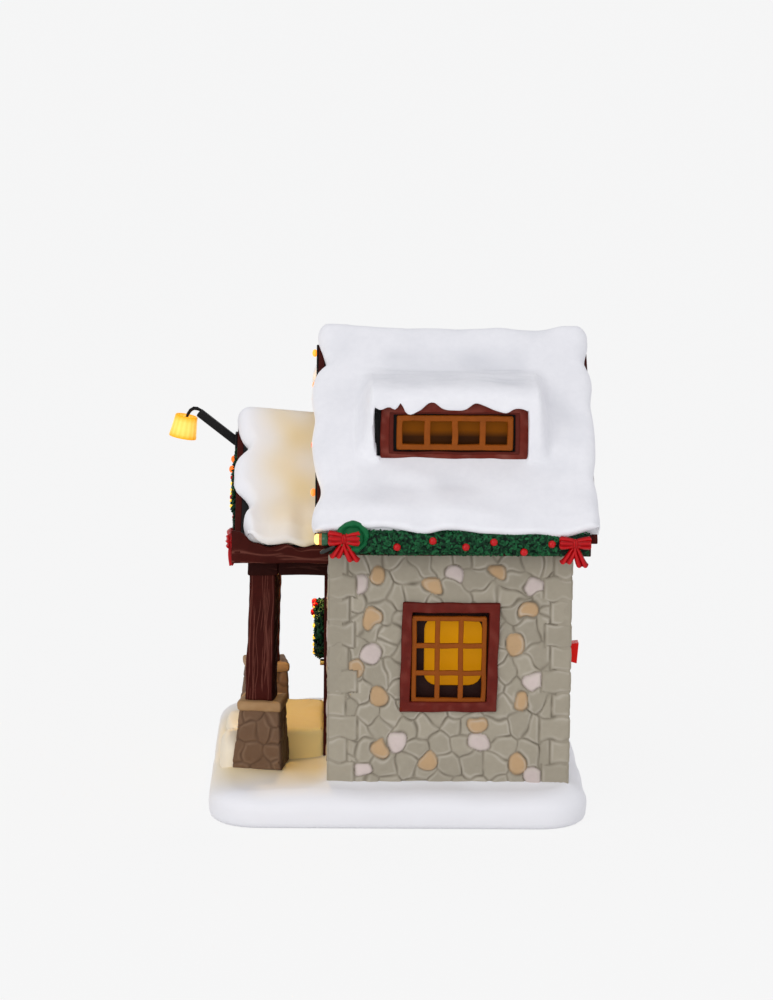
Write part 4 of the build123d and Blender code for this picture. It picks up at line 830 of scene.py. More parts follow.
# Timber of the roof edges and the porch.
# Cast planks, posts and beams with carved grain, painted dark red-brown and dry-brushed on the scratches.
# The posts stand on the piers a little askew, and carry the beams.
timber_red = (66, 20, 14)
timber_dark = (30, 9, 6)
timber_light = (128, 76, 64)
post_middle = (35.0, -53.8)
post_foot, post_head = 41.0, 92.2
post_turn = -8.0
beam_z = 95.5
wall_end = -27.5


def plank(start, end, across, half_a, half_b, corner, seed, grooves=12, uneven=0.25, side=24, step=1.3,
          fine=0.3):
    """Plank: a rounded rectangle carried from start to end, with wavering grooves cut along the grain."""
    random = np.random.default_rng(seed)
    start, end, across = (np.array(v, float) for v in (start, end, across))
    length = np.linalg.norm(end - start)
    way = (end - start) / length
    wide = across - way * (across @ way)
    wide /= np.linalg.norm(wide)
    deep = np.cross(way, wide)
    ring = outline(half_a, half_b, corner, side, 4)
    tangent = np.roll(ring, -1, axis=0) - np.roll(ring, 1, axis=0)
    normal = np.column_stack([tangent[:, 1], -tangent[:, 0]])
    normal /= np.linalg.norm(normal, axis=1, keepdims=True)
    girth = np.linalg.norm(np.roll(ring, -1, axis=0) - ring, axis=1)
    at = np.concatenate([[0], np.cumsum(girth)[:-1]])
    total = girth.sum()
    inner = np.linspace(0.5, length - 0.5, max(int(length / step), 4))
    run = np.concatenate([[0, 0.15], inner, [length - 0.15, length]])
    draw = np.concatenate([[0.94, 0.985], np.ones(len(inner)), [0.985, 0.94]])
    home = random.uniform(0, total, grooves)
    sway = random.uniform(0.2, 0.7, grooves) * np.sin(run[:, None] / random.uniform(3, 9, grooves)
                                                      + random.uniform(0, 6, grooves))
    first = random.uniform(-0.4, 0.6, grooves) * length
    last = first + random.uniform(0.35, 0.9, grooves) * length
    live = ease((run[:, None] - first) / 3) * ease((last - run[:, None]) / 3)
    off = (at[None, :, None] - home - sway[:, None] + total / 2) % total - total / 2
    cut = (np.exp(-(off / fine) ** 2) * live[:, None]).max(axis=2)
    section = ring[:, :1] * wide + ring[:, 1:] * deep
    flat = start + run[:, None, None] * way + draw[:, None, None] * section[None]
    push = uneven * ripple(flat, 17, seed + 1) + 0.3 * uneven * ripple(flat, 5, seed + 2) - fine * cut
    points = flat + push[..., None] * (normal[:, :1] * wide + normal[:, 1:] * deep)
    shade = 0.35 * np.clip(ripple(flat, 21, seed + 3), 0, 1)
    return skin(points, around=True, capped=True, ridge=0.62 * cut, hollow=shade * (1 - cut))


def softened(name, node, material, width, body="house"):
    """A solid's own shape with its edges rounded, as a merged copy under a bevel."""
    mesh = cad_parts[node].data.copy()
    mesh.name = name
    merge = bmesh.new()
    merge.from_mesh(mesh)
    bmesh.ops.remove_doubles(merge, verts=merge.verts, dist=0.01 * mm)
    bmesh.ops.dissolve_limit(merge, angle_limit=np.radians(1), verts=merge.verts, edges=merge.edges)
    merge.to_mesh(mesh)
    merge.free()
    mesh.shade_smooth()
    mesh.set_sharp_from_angle(angle=np.radians(35))
    mesh.materials.clear()
    mesh.materials.append(material)
    piece = bpy.data.objects.new(name, mesh)
    bpy.context.scene.collection.objects.link(piece)
    bevel = piece.modifiers.new("soft_edges", "BEVEL")
    bevel.width = width * mm
    bevel.segments = 2
    bevel.limit_method = "ANGLE"
    bevel.angle_limit = np.radians(40)
    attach(piece, body)
    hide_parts(node)
    return piece


timber_finish = coat("timber_paint", timber_red, timber_dark, timber_light, mottle=0.25, rough=0.45,
                     grain=0.35, gloss=0.06)


def make_eave_boards():
    """Fascia boards under both eaves, from gable board to gable board."""
    right = plank((78.5, -30, 112.0), (78.5, 73, 112.0), (1, 0, 0), 1.0, 4.2, 0.4, 71, uneven=0.1)
    return join([right, mirrored(right)])


def make_porch_fascias():
    """Porch fascias: planks with a wavy knobbly top where the snow lies on them."""
    middle_z = 103.0
    right = plank((50.75, -66.0, middle_z), (50.75, wall_end, middle_z), (1, 0, 0), 1.25, 4.0, 0.6, 72)
    points = right["points"]
    high = ease((points[:, 2] - middle_z) / 3)
    points[:, 2] += high * (curve(porch_low_edge, points[:, 1]) - 107.6 + 0.5 * ripple(points, 6, 73))
    return join([right, mirrored(right)])


def make_porch_beams():
    """Porch beams: one across the front on the posts and one from each post back to the wall."""
    x, y = post_middle
    across = plank((-x - 6, y, beam_z), (x + 6, y, beam_z), (0, 1, 0), 6.0, 3.5, 0.7, 74)
    right = plank((x, y + 6, beam_z), (x, wall_end, beam_z), (1, 0, 0), 6.0, 3.5, 0.7, 75)
    beams = join([across, right, mirrored(right)])
    # Painted shade: the beams are darker all over, under the porch roof.
    beams["values"]["hollow"] = np.maximum(beams["values"]["hollow"], 0.7)
    return beams


def turned_round(points, middle, degrees):
    """Points turned about an upright axis through the middle."""
    angle = np.radians(degrees)
    away = points[..., :2] - middle
    x = away[..., 0] * np.cos(angle) - away[..., 1] * np.sin(angle)
    y = away[..., 0] * np.sin(angle) + away[..., 1] * np.cos(angle)
    return np.stack([x + middle[0], y + middle[1], points[..., 2]], axis=-1)


def make_post():
    """Post: a square carved timber, a little crooked, with deep grain."""
    post = plank((*post_middle, post_foot), (*post_middle, post_head), (0, 1, 0), 6.0, 6.0, 0.8, 76,
                 grooves=110, uneven=0.35, side=80, step=0.9, fine=0.13)
    points = post["points"]
    rise = ((points[:, 2] - post_foot) / 51)[:, None]
    # Painted shade: the post's side towards the house is darkened.
    shaded_side = ease((points[:, 1] - post_middle[1] - 5.2) / 0.5)[:, None]
    post["values"]["hollow"] = np.maximum(post["values"]["hollow"], 0.9 * shaded_side)
    points[:, :2] = post_middle + (points[:, :2] - post_middle) * (0.95 - 0.07 * rise)
    points[:, 1] += 1.3 * ease(rise[:, 0]) - 0.8
    post["points"] = turned_round(points, post_middle, post_turn)
    return post


add_piece("eave_boards", make_eave_boards(), timber_finish, ["eave_fascias"])
add_piece("porch_edge_boards", make_porch_fascias(), timber_finish, ["porch_fascias"])
add_piece("porch_beam_set", make_porch_beams(), timber_finish, ["porch_beams"])
add_pair("porch_post", make_post(), timber_finish, "porch_post")
for node in ("front_barge_boards", "back_barge_boards", "porch_barge_boards", "porch_gable",
             "porch_ceiling"):
    softened(node + "_soft", node, timber_finish, 0.35)
softened("front_facing_soft", "front_facing", timber_finish, 0.3)


# Porch floor and steps.
# Part of the snow casting: a raised slab between the piers, with a stair in its middle and a heap of snow at
# each end of the front step, all rounded like the ground.
floor_front, floor_back, floor_top = -70.4, -28.9, 26.0
stair_half = 20.0
tread_depth, tread_rise = 5.5, 4.0
heap_back = -60.0


def roughened(points, size, amount, seed):
    """Points pushed about by ripples in all directions, growing from nothing at the ground."""
    raised = np.clip((points[..., 2:] - ground_top) / 6, 0, 1)
    return points + raised * amount * np.stack([ripple(points, size, seed + k) for k in range(3)], axis=-1)


def soft_block(x0, x1, y0, y1, top, corner, round_top, seed):
    """Snow block: a rounded rectangle rising from the ground, drawn in over its top edge."""
    turn = np.linspace(0, np.pi / 2, 7)
    insets = np.concatenate([[0, 0, 0], round_top * (1 - np.cos(turn)), [round_top + 1.5, round_top + 3.5]])
    side_z = [ground_top - 1, (ground_top + top) / 2, top - round_top - 0.2]
    z = np.concatenate([side_z, top - round_top * (1 - np.sin(turn)), [top, top]])
    half = np.array([(x1 - x0) / 2, (y1 - y0) / 2])
    rings = []
    for inset, height in zip(insets, z):
        ring = outline(*(half - min(inset, half.min() - 0.3)), max(corner - inset, 0.2), 16, 6)
        rings.append(np.column_stack([ring + ((x0 + x1) / 2, (y0 + y1) / 2), np.full(len(ring), height)]))
    return skin(roughened(np.array(rings), 9, 0.22, seed), around=True, capped=True)


def snow_heap(x0, x1, y0, y1, top, seed):
    """Snow heap: powers of sine and cosine give it a full oval plan and a full rounded top."""
    turn = np.linspace(0, 2 * np.pi, 48, endpoint=False)
    rise = np.linspace(0, np.pi / 2, 14)[:-1, None]
    fullness = 0.72
    spread = np.cos(rise) ** fullness
    plan_x, plan_y = (np.sign(wave) * np.abs(wave) ** fullness for wave in (np.cos(turn), np.sin(turn)))
    foot = ground_top - 1
    x = (x0 + x1) / 2 + (x1 - x0) / 2 * spread * plan_x
    y = (y0 + y1) / 2 + (y1 - y0) / 2 * spread * plan_y
    z = foot + (top - foot) * np.sin(rise) ** fullness + 0 * x
    return skin(roughened(np.stack([x, y, z], axis=-1), 11, 0.4, seed), around=True, capped=True)


def make_porch_floor():
    """Slab, two stair treads, and the heaps at the ends of the front step, the left one lower."""
    slab = soft_block(-27.2, 27.2, -57.5, floor_back, floor_top, 2.0, 2.4, 77)
    treads = []
    for k in (1, 2):
        front, top = floor_front + tread_depth * k, ground_top + tread_rise * k
        treads.append(soft_block(-stair_half, stair_half, front, -50, top, 2.0, 1.6, 80 + k))
    right = snow_heap(16.5, 42.5, floor_front - 0.8, heap_back, floor_top, 84)
    left = snow_heap(-41.5, -16.5, floor_front, heap_back, floor_top - 7, 87)
    return join([slab, right, left] + treads)


porch_floor = make_porch_floor()
# Painted light: the porch floor is tinted warm by the porch lamp, more strongly towards the back.
porch_floor["values"]["hollow"] = 0.45 + 0.5 * ease((porch_floor["points"][:, 1:2] + 66) / 6)
add_piece("porch_floor", porch_floor, lamplit_snow_finish, ["porch_slab"])


# Porch piers.
# Tapered piers of brown rubble stone under tan stone caps, cast with the porch and dry-brushed.
# They carry the posts, and are turned with them.
pier_brown = (112, 84, 62)
pier_dark = (64, 46, 33)
pier_light = (150, 122, 98)
cap_tan = (164, 128, 88)
cap_light = (196, 164, 124)
pier_height = 23.5
pier_top = ground_top + pier_height


def make_pier():
    """Pier: a rounded square tapering upwards, with stones laid round its unrolled girth."""
    z = np.linspace(ground_top, pier_top + 0.1, 60)
    half = np.interp(z, [ground_top, pier_top], [10.3, 8.3])
    ring = outline(1, 1, 0.12, 46, 5)
    flat = half[:, None, None] * ring
    girth = np.linalg.norm(np.roll(ring, -1, axis=0) - ring, axis=1)
    at = np.concatenate([[0], np.cumsum(girth)[:-1]]) * 9.2
    across = np.broadcast_to(at, flat.shape[:2])
    up = np.broadcast_to(z[:, None], flat.shape[:2])
    height, joint, lit, _ = lay_stones(across, up, -20.0, at[-1] + 20.0, [(-9, 0, 0)], 0, 81)
    out = ring / np.linalg.norm(ring, axis=1, keepdims=True)
    flat = flat + out * (height[..., None] * 0.8 - 0.5)
    points = np.concatenate([flat, up[..., None]], axis=-1) + (*post_middle, 0)
    points[..., 1] -= 0.8 * (pier_top - points[..., 2]) / pier_height
    points = turned_round(points, post_middle, post_turn)
    # Painted shade: the pier's side towards the house is darkened and loses its dry-brushed edges.
    shaded_side = np.broadcast_to(ease((ring[:, 1] - 0.85) / 0.12), joint.shape)
    return skin(points, around=True, capped=True, hollow=np.maximum(joint * 0.7, 0.8 * shaded_side),
                ridge=lit * 0.6 * (1 - shaded_side))


def make_pier_cap():
    """Cap: a worn square slab, stacked rings with rounded edges and a slightly dished top."""
    half, z = np.array([(7.8, 37.0), (8.5, 37.3), (8.9, 37.9), (9.0, 39.2), (8.9, 40.4), (8.5, 41.0),
                        (7.6, 41.2), (6.2, 41.1)]).T
    ring = outline(1, 1, 0.1, 20, 4)
    flat = half[:, None, None] * ring
    up = np.broadcast_to(z[:, None], flat.shape[:2])
    points = np.concatenate([flat, up[..., None]], axis=-1) + (post_middle[0], post_middle[1] - 0.1, 0)
    points = points + 0.14 * np.stack([ripple(points, 6, 82 + k) for k in range(3)], axis=-1)
    ridge = 0.3 * np.clip(ripple(points, 5, 85), 0, 1)
    points = turned_round(points, post_middle, post_turn)
    # Painted shade: the cap's side towards the house is darkened.
    shaded_side = np.broadcast_to(ease((ring[:, 1] - 0.9) / 0.08), ridge.shape)
    return skin(points, around=True, capped=True, ridge=ridge, hollow=0.7 * shaded_side)


pier_finish = coat("pier_paint", pier_brown, pier_dark, pier_light, mottle=0.15, rough=0.5, grain=0.4,
                   gloss=0.2)
cap_finish = coat("cap_paint", cap_tan, pier_dark, cap_light, mottle=0.1, rough=0.5, grain=0.35, gloss=0.2)
pier_cap = make_pier_cap()
add_pair("porch_pier", make_pier(), pier_finish, "porch_pier")
add_piece("pier_cap_set", join([pier_cap, mirrored(pier_cap)]), cap_finish, ["pier_caps"])


# Evergreen garlands under the eaves.
# Cast ropes of small overlapping leaves fixed to the fascia boards, painted green with dark hollows.
# A smooth rolled end rises at the front corner, and red berries stand out along each rope.
garland_middle = (80.6, 113.1)
garland_radii = (2.2, 4.5)
garland_ends = (-27.5, 72.2)
garland_dark = (5, 28, 18)
garland_bright = (34, 106, 62)
roll_middle = (80.4, -18.8, 115.6)
roll_rim = (22, 100, 58)
roll_dome = (14, 84, 46)
berry_red = (198, 12, 18)
berry_dark = (120, 8, 12)
berry_spots = [(-1.7, 111.8), (12, 114.3), (24.7, 112), (35.4, 114), (47, 110.2), (57.7, 113.4)]
berry_radius = 1.5


def make_leaf():
    """Leaf: a pointed pillow one unit long, pulled up at its tip."""
    t = np.array([0.03, 0.22, 0.5, 0.78, 0.97])[:, None]
    turn = np.linspace(0, 2 * np.pi, 7)[None, :-1]
    wide = 0.3 * np.sin(np.pi * t) ** 0.7
    thick = 0.16 * np.sin(np.pi * t) ** 0.5
    rise = thick * np.sin(turn) + 0.35 * (t - 0.3) ** 2
    return skin(np.stack([t - 0.5 + 0 * turn, wide * np.cos(turn), rise], axis=-1), around=True, capped=True)


def make_ball():
    """Berry: a ball one unit in radius with a dimple at its outer end."""
    polar = np.linspace(0.12, np.pi - 0.1, 9)[:, None]
    turn = np.linspace(0, 2 * np.pi, 13)[None, :-1]
    out = 1 - 0.16 * np.exp(-(polar / 0.35) ** 2) + 0.02 * np.cos(5 * turn)
    points = np.stack([out * np.sin(polar) * np.cos(turn), out * np.sin(polar) * np.sin(turn),
                       out * np.cos(polar) + 0 * turn], axis=-1)
    return skin(points, around=True, capped=True)


def scatter(shape, places, normals, sizes, tints, seed):
    """Copies of a small shape at the places, standing along the normals, each turned at random."""
    random = np.random.default_rng(seed)
    count, each = len(places), len(shape["points"])
    normals = normals / np.linalg.norm(normals, axis=1, keepdims=True)
    ahead = random.normal(size=(count, 3))
    ahead -= normals * (ahead * normals).sum(axis=1, keepdims=True)
    ahead /= np.linalg.norm(ahead, axis=1, keepdims=True)
    axes = np.stack([ahead, np.cross(normals, ahead), normals], axis=1)
    points = places[:, None] + sizes[:, None, None] * (shape["points"] @ axes)
    starts = (np.arange(count) * each)[:, None, None]
    return {"points": points.reshape(-1, 3), "quads": (shape["quads"] + starts).reshape(-1, 4),
            "tris": (shape["tris"] + starts).reshape(-1, 3),
            "values": {"tint": np.repeat(tints, each, axis=0)}}


def set_balls(places, way, radius, color, seed):
    """Balls of one size and paint at the places, all facing one way."""
    count = len(places)
    return scatter(ball, np.array(places), np.tile(way, (count, 1)), np.full(count, radius),
                   np.tile(paint(*color), (count, 1)), seed)


def leaf_tints(count, seed):
    """Greens between the dark and the bright one, a different mixture for each leaf."""
    share = np.random.default_rng(seed).uniform(0.05, 1, (count, 1)) ** 1.4
    return np.array(paint(*garland_dark)) * (1 - share) + np.array(paint(*garland_bright)) * share


def sweep(path, radius, around=12):
    """Round tube along a path of points, with a radius for each, closed by end fans."""
    path = np.array(path, float)
    way = np.gradient(path, axis=0)
    way /= np.linalg.norm(way, axis=1, keepdims=True)
    side = np.cross(way, (1.0, 0.3, 0.2))
    side /= np.linalg.norm(side, axis=1, keepdims=True)
    turn = np.linspace(0, 2 * np.pi, around + 1)[:-1]
    out = np.cross(way, side)
    ring = np.cos(turn)[None, :, None] * side[:, None] + np.sin(turn)[None, :, None] * out[:, None]
    return skin(path[:, None] + np.reshape(radius, (-1, 1, 1)) * ring, around=True, capped=True)


def turned(profile, origin, way, around=14):
    """Turned shape: a profile of radius and distance carried round an axis from its origin."""
    profile, way = np.array(profile, float), np.array(way, float)
    side = np.cross(way, (0.2, 0.3, 1.0))
    side /= np.linalg.norm(side)
    turn = np.linspace(0, 2 * np.pi, around + 1)[:-1]
    ring = np.cos(turn)[:, None] * side + np.sin(turn)[:, None] * np.cross(way, side)
    path = np.array(origin, float) + profile[:, 1:] * way
    return skin(path[:, None] + profile[:, :1, None] * ring[None], around=True, capped=True)


def tinted(made, color, lit=0.0):
    """The same skin with one paint of its own, lit or not."""
    made["values"]["tint"] = np.tile(paint(*color), (len(made["points"]), 1))
    made["values"]["lit"] = np.full((len(made["points"]), 1), lit)
    return made


leaf = make_leaf()
ball = make_ball()


def make_garland():
    """Garland: a soft core along the eave, leaves over its outer half, and a smooth rolled end in front.

    Leaves under the bows lie a little deeper.
    """
    random = np.random.default_rng(91)
    middle_x, middle_z = garland_middle
    deep, high = garland_radii
    rows = 90
    middle = (middle_x, 0, middle_z)
    along = np.linspace(*garland_ends, rows)
    core = np.column_stack([np.full(rows, middle_x), along, np.full(rows, middle_z)])
    rope = sweep(core, np.concatenate([[0.6], np.full(rows - 2, 1.0), [0.6]]), 20)
    rope["points"] = (rope["points"] - middle) * (deep - 0.3, 1, high - 0.4) + middle
    count = 2100
    turn = random.uniform(-1.5, 1.5, count)
    places = np.column_stack([middle_x + deep * np.cos(turn), random.uniform(*garland_ends, count),
                              middle_z + high * np.sin(turn)])
    places[:, 0] -= 0.8 * ((places[:, 1] < -14) | (places[:, 1] > 60))
    normals = np.column_stack([np.cos(turn) / deep, np.zeros(count), np.sin(turn) / high])
    normals = normals / np.linalg.norm(normals, axis=1, keepdims=True) + random.normal(0, 0.3, (count, 3))
    leaves = scatter(leaf, places, normals, random.uniform(1.3, 2.2, count), leaf_tints(count, 92), 93)
    rim = [(6.1, 0.0), (6.3, 1.0), (6.2, 2.6), (5.7, 3.4), (5.0, 3.7), (4.5, 3.4), (4.3, 3.0)]
    dome = [(4.4, 2.6), (4.1, 3.2), (3.4, 3.8), (2.2, 4.2), (0.9, 4.3), (0.2, 4.3)]
    rolled = join([tinted(turned(rim, roll_middle, (1, 0, 0), 60), roll_rim),
                   tinted(turned(dome, roll_middle, (1, 0, 0), 60), roll_dome)])
    lumps = np.stack([ripple(rolled["points"], 3.2, 95 + k) for k in range(3)], axis=-1)
    rolled["points"] = rolled["points"] + lumps * (0.15, 0.4, 0.4)
    return join([tinted(rope, garland_dark), leaves, rolled])


leaf_finish = coat("leaf_paint", garland_bright, garland_dark, mottle=0.15, rough=0.3, grain=0.25,
                   tinted=True, lit=1.0)
berry_finish = coat("berry_paint", berry_red, berry_dark, mottle=0.3, rough=0.12, grain=0.05, gloss=0.25)
berry_x = garland_middle[0] + garland_radii[0] + 0.6
berries = set_balls([(berry_x, y, z) for y, z in berry_spots], (1.0, 0, 0.2), berry_radius, berry_red, 94)
add_pair("garland_leaves", make_garland(), leaf_finish, "garland")
add_piece("garland_berry_set", join([berries, mirrored(berries)]), berry_finish,
          ["garland_berries"])


# Ribbon bows.
# Cast bows with pleated loops and forked tails, painted red, with painted shade in the folds and painted
# highlights on the crests.
# They sit on the garlands, at the feet of the porch gable and on the wreath.
bow_red = (180, 3, 10)
bow_fold_shade = (118, 0, 4)
bow_crest_highlight = (232, 44, 50)


def make_bow(loop_share, left_tail, right_tail):
    """Bow lying in its own plane, X to the right, Y up and Z outwards.

    Two boxy loops with pleats along them, a knot and two pleated tails with notched ends. Each tail is given
    by the middle of its end and half its width.
    """
    turn = np.linspace(0, 2 * np.pi, 49)[None, :-1]
    t = np.concatenate([np.linspace(0, 0.9, 14), [0.96, 1.0, 1.0]])[:, None]
    closing = np.concatenate([np.ones(15), [0.86, 0.45]])[:, None]
    up = np.sign(np.cos(turn)) * np.abs(np.cos(turn)) ** 0.7
    out = np.sign(np.sin(turn)) * np.abs(np.sin(turn)) ** 0.7
    high = np.interp(t, [0, 0.2, 0.5, 1], [2.2, 2.4, 2.8, 3.1]) * closing * loop_share
    deep = np.interp(t, [0, 0.3, 0.7, 1], [0.9, 1.2, 1.4, 1.1]) * closing
    pleat = np.cos(up * 2 * np.pi * 1.5)
    points = np.stack([0.7 + 5.4 * t + 0.22 * pleat * t ** 4, high * up + 0.25 * t,
                       1.2 + deep * out * (1 + 0.28 * pleat * ease(t * 4))], axis=-1)
    # Painted shade in the pleat troughs and painted highlights on the pleat crests; the tails and knot alike.
    loop = skin(points, around=True, capped=True, hollow=0.75 * np.clip(-pleat, 0, 1) ** 2 + 0 * t,
                ridge=0.4 * np.clip(pleat, 0, 1) ** 3 * ease(t * 3))
    tails = []
    s = np.concatenate([np.linspace(0, 1, 18), [1.0]])[:, None]
    thick = np.concatenate([np.ones(18), [0.4]])[:, None]
    for end_x, end_y, half in (left_tail, right_tail):
        across = np.cos(turn)
        rib = np.abs(np.sin(np.pi * across))
        wide = 0.9 + (half - 0.9) * s ** 0.7
        lobe = np.sqrt(np.clip(1 - (2 * np.abs(across) - 1) ** 2, 0, 1))
        x = end_x * s ** 1.1 + wide * across * np.where(thick < 1, 0.93, 1)
        y = -0.8 + (end_y + 0.8) * s - 1.5 * (lobe - 0.75) * s ** 6
        z = 0.7 + 0.6 * np.sin(turn) * thick + 0.7 * (rib - 0.5) * ease(s * 3) + 0.5 * np.sin(np.pi * s)
        tails.append(skin(np.stack([x, y, z], axis=-1), around=True, capped=True,
                          hollow=0.75 * (1 - rib) ** 1.5 * ease(s * 3), ridge=0.3 * rib ** 4 * ease(s * 2)))
    polar = np.linspace(0.08, np.pi - 0.08, 12)[:, None]
    pinch = 1 + 0.08 * np.cos(6 * turn)
    knot = np.stack([1.2 * np.sin(polar) * np.cos(turn) * pinch, 1.9 * np.cos(polar) + 0 * turn,
                     1.4 + 1.3 * np.sin(polar) * np.sin(turn) * pinch], axis=-1)
    knot = skin(knot, around=True, capped=True, hollow=0.6 * np.clip(-np.cos(6 * turn), 0, 1) + 0 * polar,
                ridge=0.2 * np.clip(np.cos(6 * turn), 0, 1) + 0 * polar)
    return join([loop, mirrored(loop), *tails, knot])


def placed(made, origin, right, up, share=1.0):
    """The same skin set down at an origin, with its own X along right and its Y along up."""
    right, up = np.array(right, float), np.array(up, float)
    axes = np.stack([right, up, np.cross(right, up)])
    return {**made, "points": np.array(origin) + share * made["points"] @ axes}


def make_bows():
    """Eave bows on both garlands, a bow at each foot of the porch gable and one on the wreath."""
    front = make_bow(1.05, (-3.2, -7.6, 2.5), (3.75, -9.0, 2.7))
    back = make_bow(0.9, (-3.5, -8.0, 2.6), (2.9, -9.4, 2.5))
    small = make_bow(0.9, (-3.0, -8.2, 1.9), (3.0, -8.2, 1.9))
    bows = []
    for bow, y, z in ((front, -22.1, 115.0), (back, 66.6, 113.8)):
        right = placed(bow, (82.6, y, z), (0, 1, 0), (0, 0, 1), 0.97)
        bows += [right, mirrored(right)]
    porch = placed(small, (43.6, -65.2, 107.0), (1, 0, 0), (0, 0, 1), 1.15)
    bows += [porch, mirrored(porch)]
    bows.append(placed(small, (0, -32.6, 71.2), (1, 0, 0), (0, 0, 1), 0.55))
    return join(bows)


bow_finish = coat("bow_paint", bow_red, bow_fold_shade, bow_crest_highlight, mottle=0.15, rough=0.2, grain=0.15, gloss=0.18)
add_piece("ribbon_bows", make_bows(), bow_finish, ["bows"])


# Porch gable garland and door wreath.
# Smaller ropes of the same leaves, with berries and tiny lit bulbs.
# They are cast on the porch gable boards and on the door.
wreath_middle = (0, -30.9, 62.0)
wreath_radii = (9.4, 2.9)
tiny_light = (255, 196, 72)
gable_bulb = (255, 110, 40)
to_front = (0, -1.0, 0)


def tiny_bulbs(places, seed):
    """Tiny lit bulbs among the leaves, each at its place and facing the front."""
    bulbs = set_balls(places, to_front, 0.7, tiny_light, seed)
    bulbs["values"]["lit"] = np.ones((len(bulbs["points"]), 1))
    return bulbs


def make_wreath():
    """Wreath: leaves over the outer face of a ring, with a dark core, berries and tiny lit bulbs."""
    random = np.random.default_rng(101)
    _, middle_y, middle_z = wreath_middle
    radius, thick = wreath_radii
    ring = np.linspace(0, 2 * np.pi, 73)[:-1, None]
    turn = np.linspace(0, 2 * np.pi, 17)[None, :-1]
    core = radius + 2.1 * np.cos(turn)
    points = np.stack([core * np.cos(ring), middle_y + 0.4 - 2.0 * np.sin(turn) + 0 * ring,
                       middle_z + core * np.sin(ring)], axis=-1)
    rope = tinted(skin(points, around=True, along=True), garland_dark)
    count = 620
    ring, turn = random.uniform(0, 2 * np.pi, count), random.uniform(-0.5, np.pi + 0.5, count)
    core = radius + thick * np.cos(turn) * 0.86
    places = np.column_stack([core * np.cos(ring), middle_y + 0.3 - 2.5 * np.sin(turn),
                              middle_z + core * np.sin(ring)])
    normals = np.column_stack([np.cos(turn) * np.cos(ring), -np.sin(turn), np.cos(turn) * np.sin(ring)])
    normals = normals + random.normal(0, 0.35, (count, 3))
    tints = leaf_tints(count, 102) * (0.5, 0.5, 0.5, 1)
    leaves = scatter(leaf, places, normals, random.uniform(1.8, 2.7, count), tints, 103)
    ring = np.linspace(0.3, 2 * np.pi - 0.2, 13)
    away = radius + 0.8 * np.cos(5 * ring)
    places = np.column_stack([away * np.cos(ring), np.full(len(ring), middle_y - 2.7),
                              middle_z + away * np.sin(ring)])
    spots = [(-2.2, -33.4, 72.6), (2.4, -33.2, 72.0), (0.4, -33.8, 68.8)]
    berries = set_balls(spots, to_front, 1.45, berry_red, 110)
    return join([rope, leaves, berries, tiny_bulbs(places, 104)])


def make_porch_garland():
    """Porch garland: leaves along both slopes of the gable board, fullest midway, each with a warm bulb."""
    random = np.random.default_rng(105)

    def line(x, out):
        """Places along the board, standing out from it by their share of the fullness."""
        full = 0.25 + 0.75 * ease((x - 9.5) / 2.5) * (1 - ease((x - 28) / 3))
        return np.column_stack([x, -65.2 - out * full, porch_boards_ridge - 6.4 - gable_slope * x])

    count = 420
    turn = random.uniform(0, np.pi, count)
    places = line(6.0 + random.uniform(0, 1, count) * 32.5, 1.5 * np.sin(turn))
    places[:, 2] += 1.9 * np.cos(turn)
    normals = np.column_stack([np.zeros(count), -np.sin(turn), np.cos(turn)])
    normals = normals + random.normal(0, 0.35, (count, 3))
    tints = leaf_tints(count, 106) * (0.6, 0.6, 0.6, 1)
    leaves = scatter(leaf, places, normals, random.uniform(1.4, 2.1, count), tints, 107)
    core = tinted(sweep(line(np.linspace(5.8, 38.5, 30), 0.0), np.full(30, 0.9)), garland_dark)
    berries = set_balls(line(np.array([16.0, 24, 32]), 1.6), to_front, 0.9, berry_red, 108)
    drop = [(0.9, 0.4), (1.3, 0.8), (1.5, 1.4), (1.3, 2.1), (0.7, 2.5), (0.2, 2.6)]
    bulb = tinted(turned(drop, line(np.array([12.6]), 0.4)[0], to_front), gable_bulb, 1.0)
    tiny = tiny_bulbs(line(np.array([18.5, 21, 22.5, 25.5, 27.5]), 1.7), 109)
    half = join([core, leaves, berries, bulb, tiny])
    return join([half, mirrored(half)])


add_piece("door_wreath", make_wreath(), leaf_finish, ["wreath"])
add_piece("porch_gable_garland", make_porch_garland(), leaf_finish, ["porch_garland"])


# Gable lights.
# Clear warm bulbs in green sockets, clipped to a black wire along the front gable boards.
# A larger one ends the row at each eave, strapped to the corner of the fascia.
light_face = -32.5
light_depth = 5.2
light_colors = {0: (255, 150, 46), 19: (255, 110, 36), 38: (255, 60, 34), 57: (232, 112, 40)}
corner_light = (81.9, -28.8, 114.4)
corner_color = (255, 214, 120)
bulb_deep = (255, 170, 80)
socket_green = (22, 92, 54)
socket_dark = (6, 30, 18)
wire_black, wire_dark = (18, 18, 19), (6, 6, 6)
led_light, led_deep = (255, 214, 130), (255, 190, 90)
ring_amber_glow = (176, 92, 26)
strap_black = (16, 16, 17)


def both_slopes(makers):
    """Skins with their mirror images, where they aren't at the ridge."""
    return join([made for x, right in makers for made in ([right, mirrored(right)] if x > 0 else [right])])


def light_place(x):
    """Place of a gable light on the face of the gable board."""
    return (x, light_face, boards_ridge - gable_slope * x - light_depth)


def make_bulbs():
    """Bulbs: small turned drops on the gable, and a larger one at each eave corner."""
    small = [(0.9, 0.7), (1.2, 0.9), (1.55, 1.3), (1.5, 1.9), (1.0, 2.4), (0.25, 2.6)]
    large = [(1.5, 2.8), (2.0, 2.9), (2.15, 3.4), (2.0, 4.0), (1.5, 4.4), (0.8, 4.65), (0.2, 4.7)]
    makers = [(x, tinted(turned(small, light_place(x), to_front), color, 1.0))
              for x, color in light_colors.items()]
    makers.append((1, tinted(turned(large, corner_light, to_front, 20), corner_color, 1.0)))
    return both_slopes(makers)


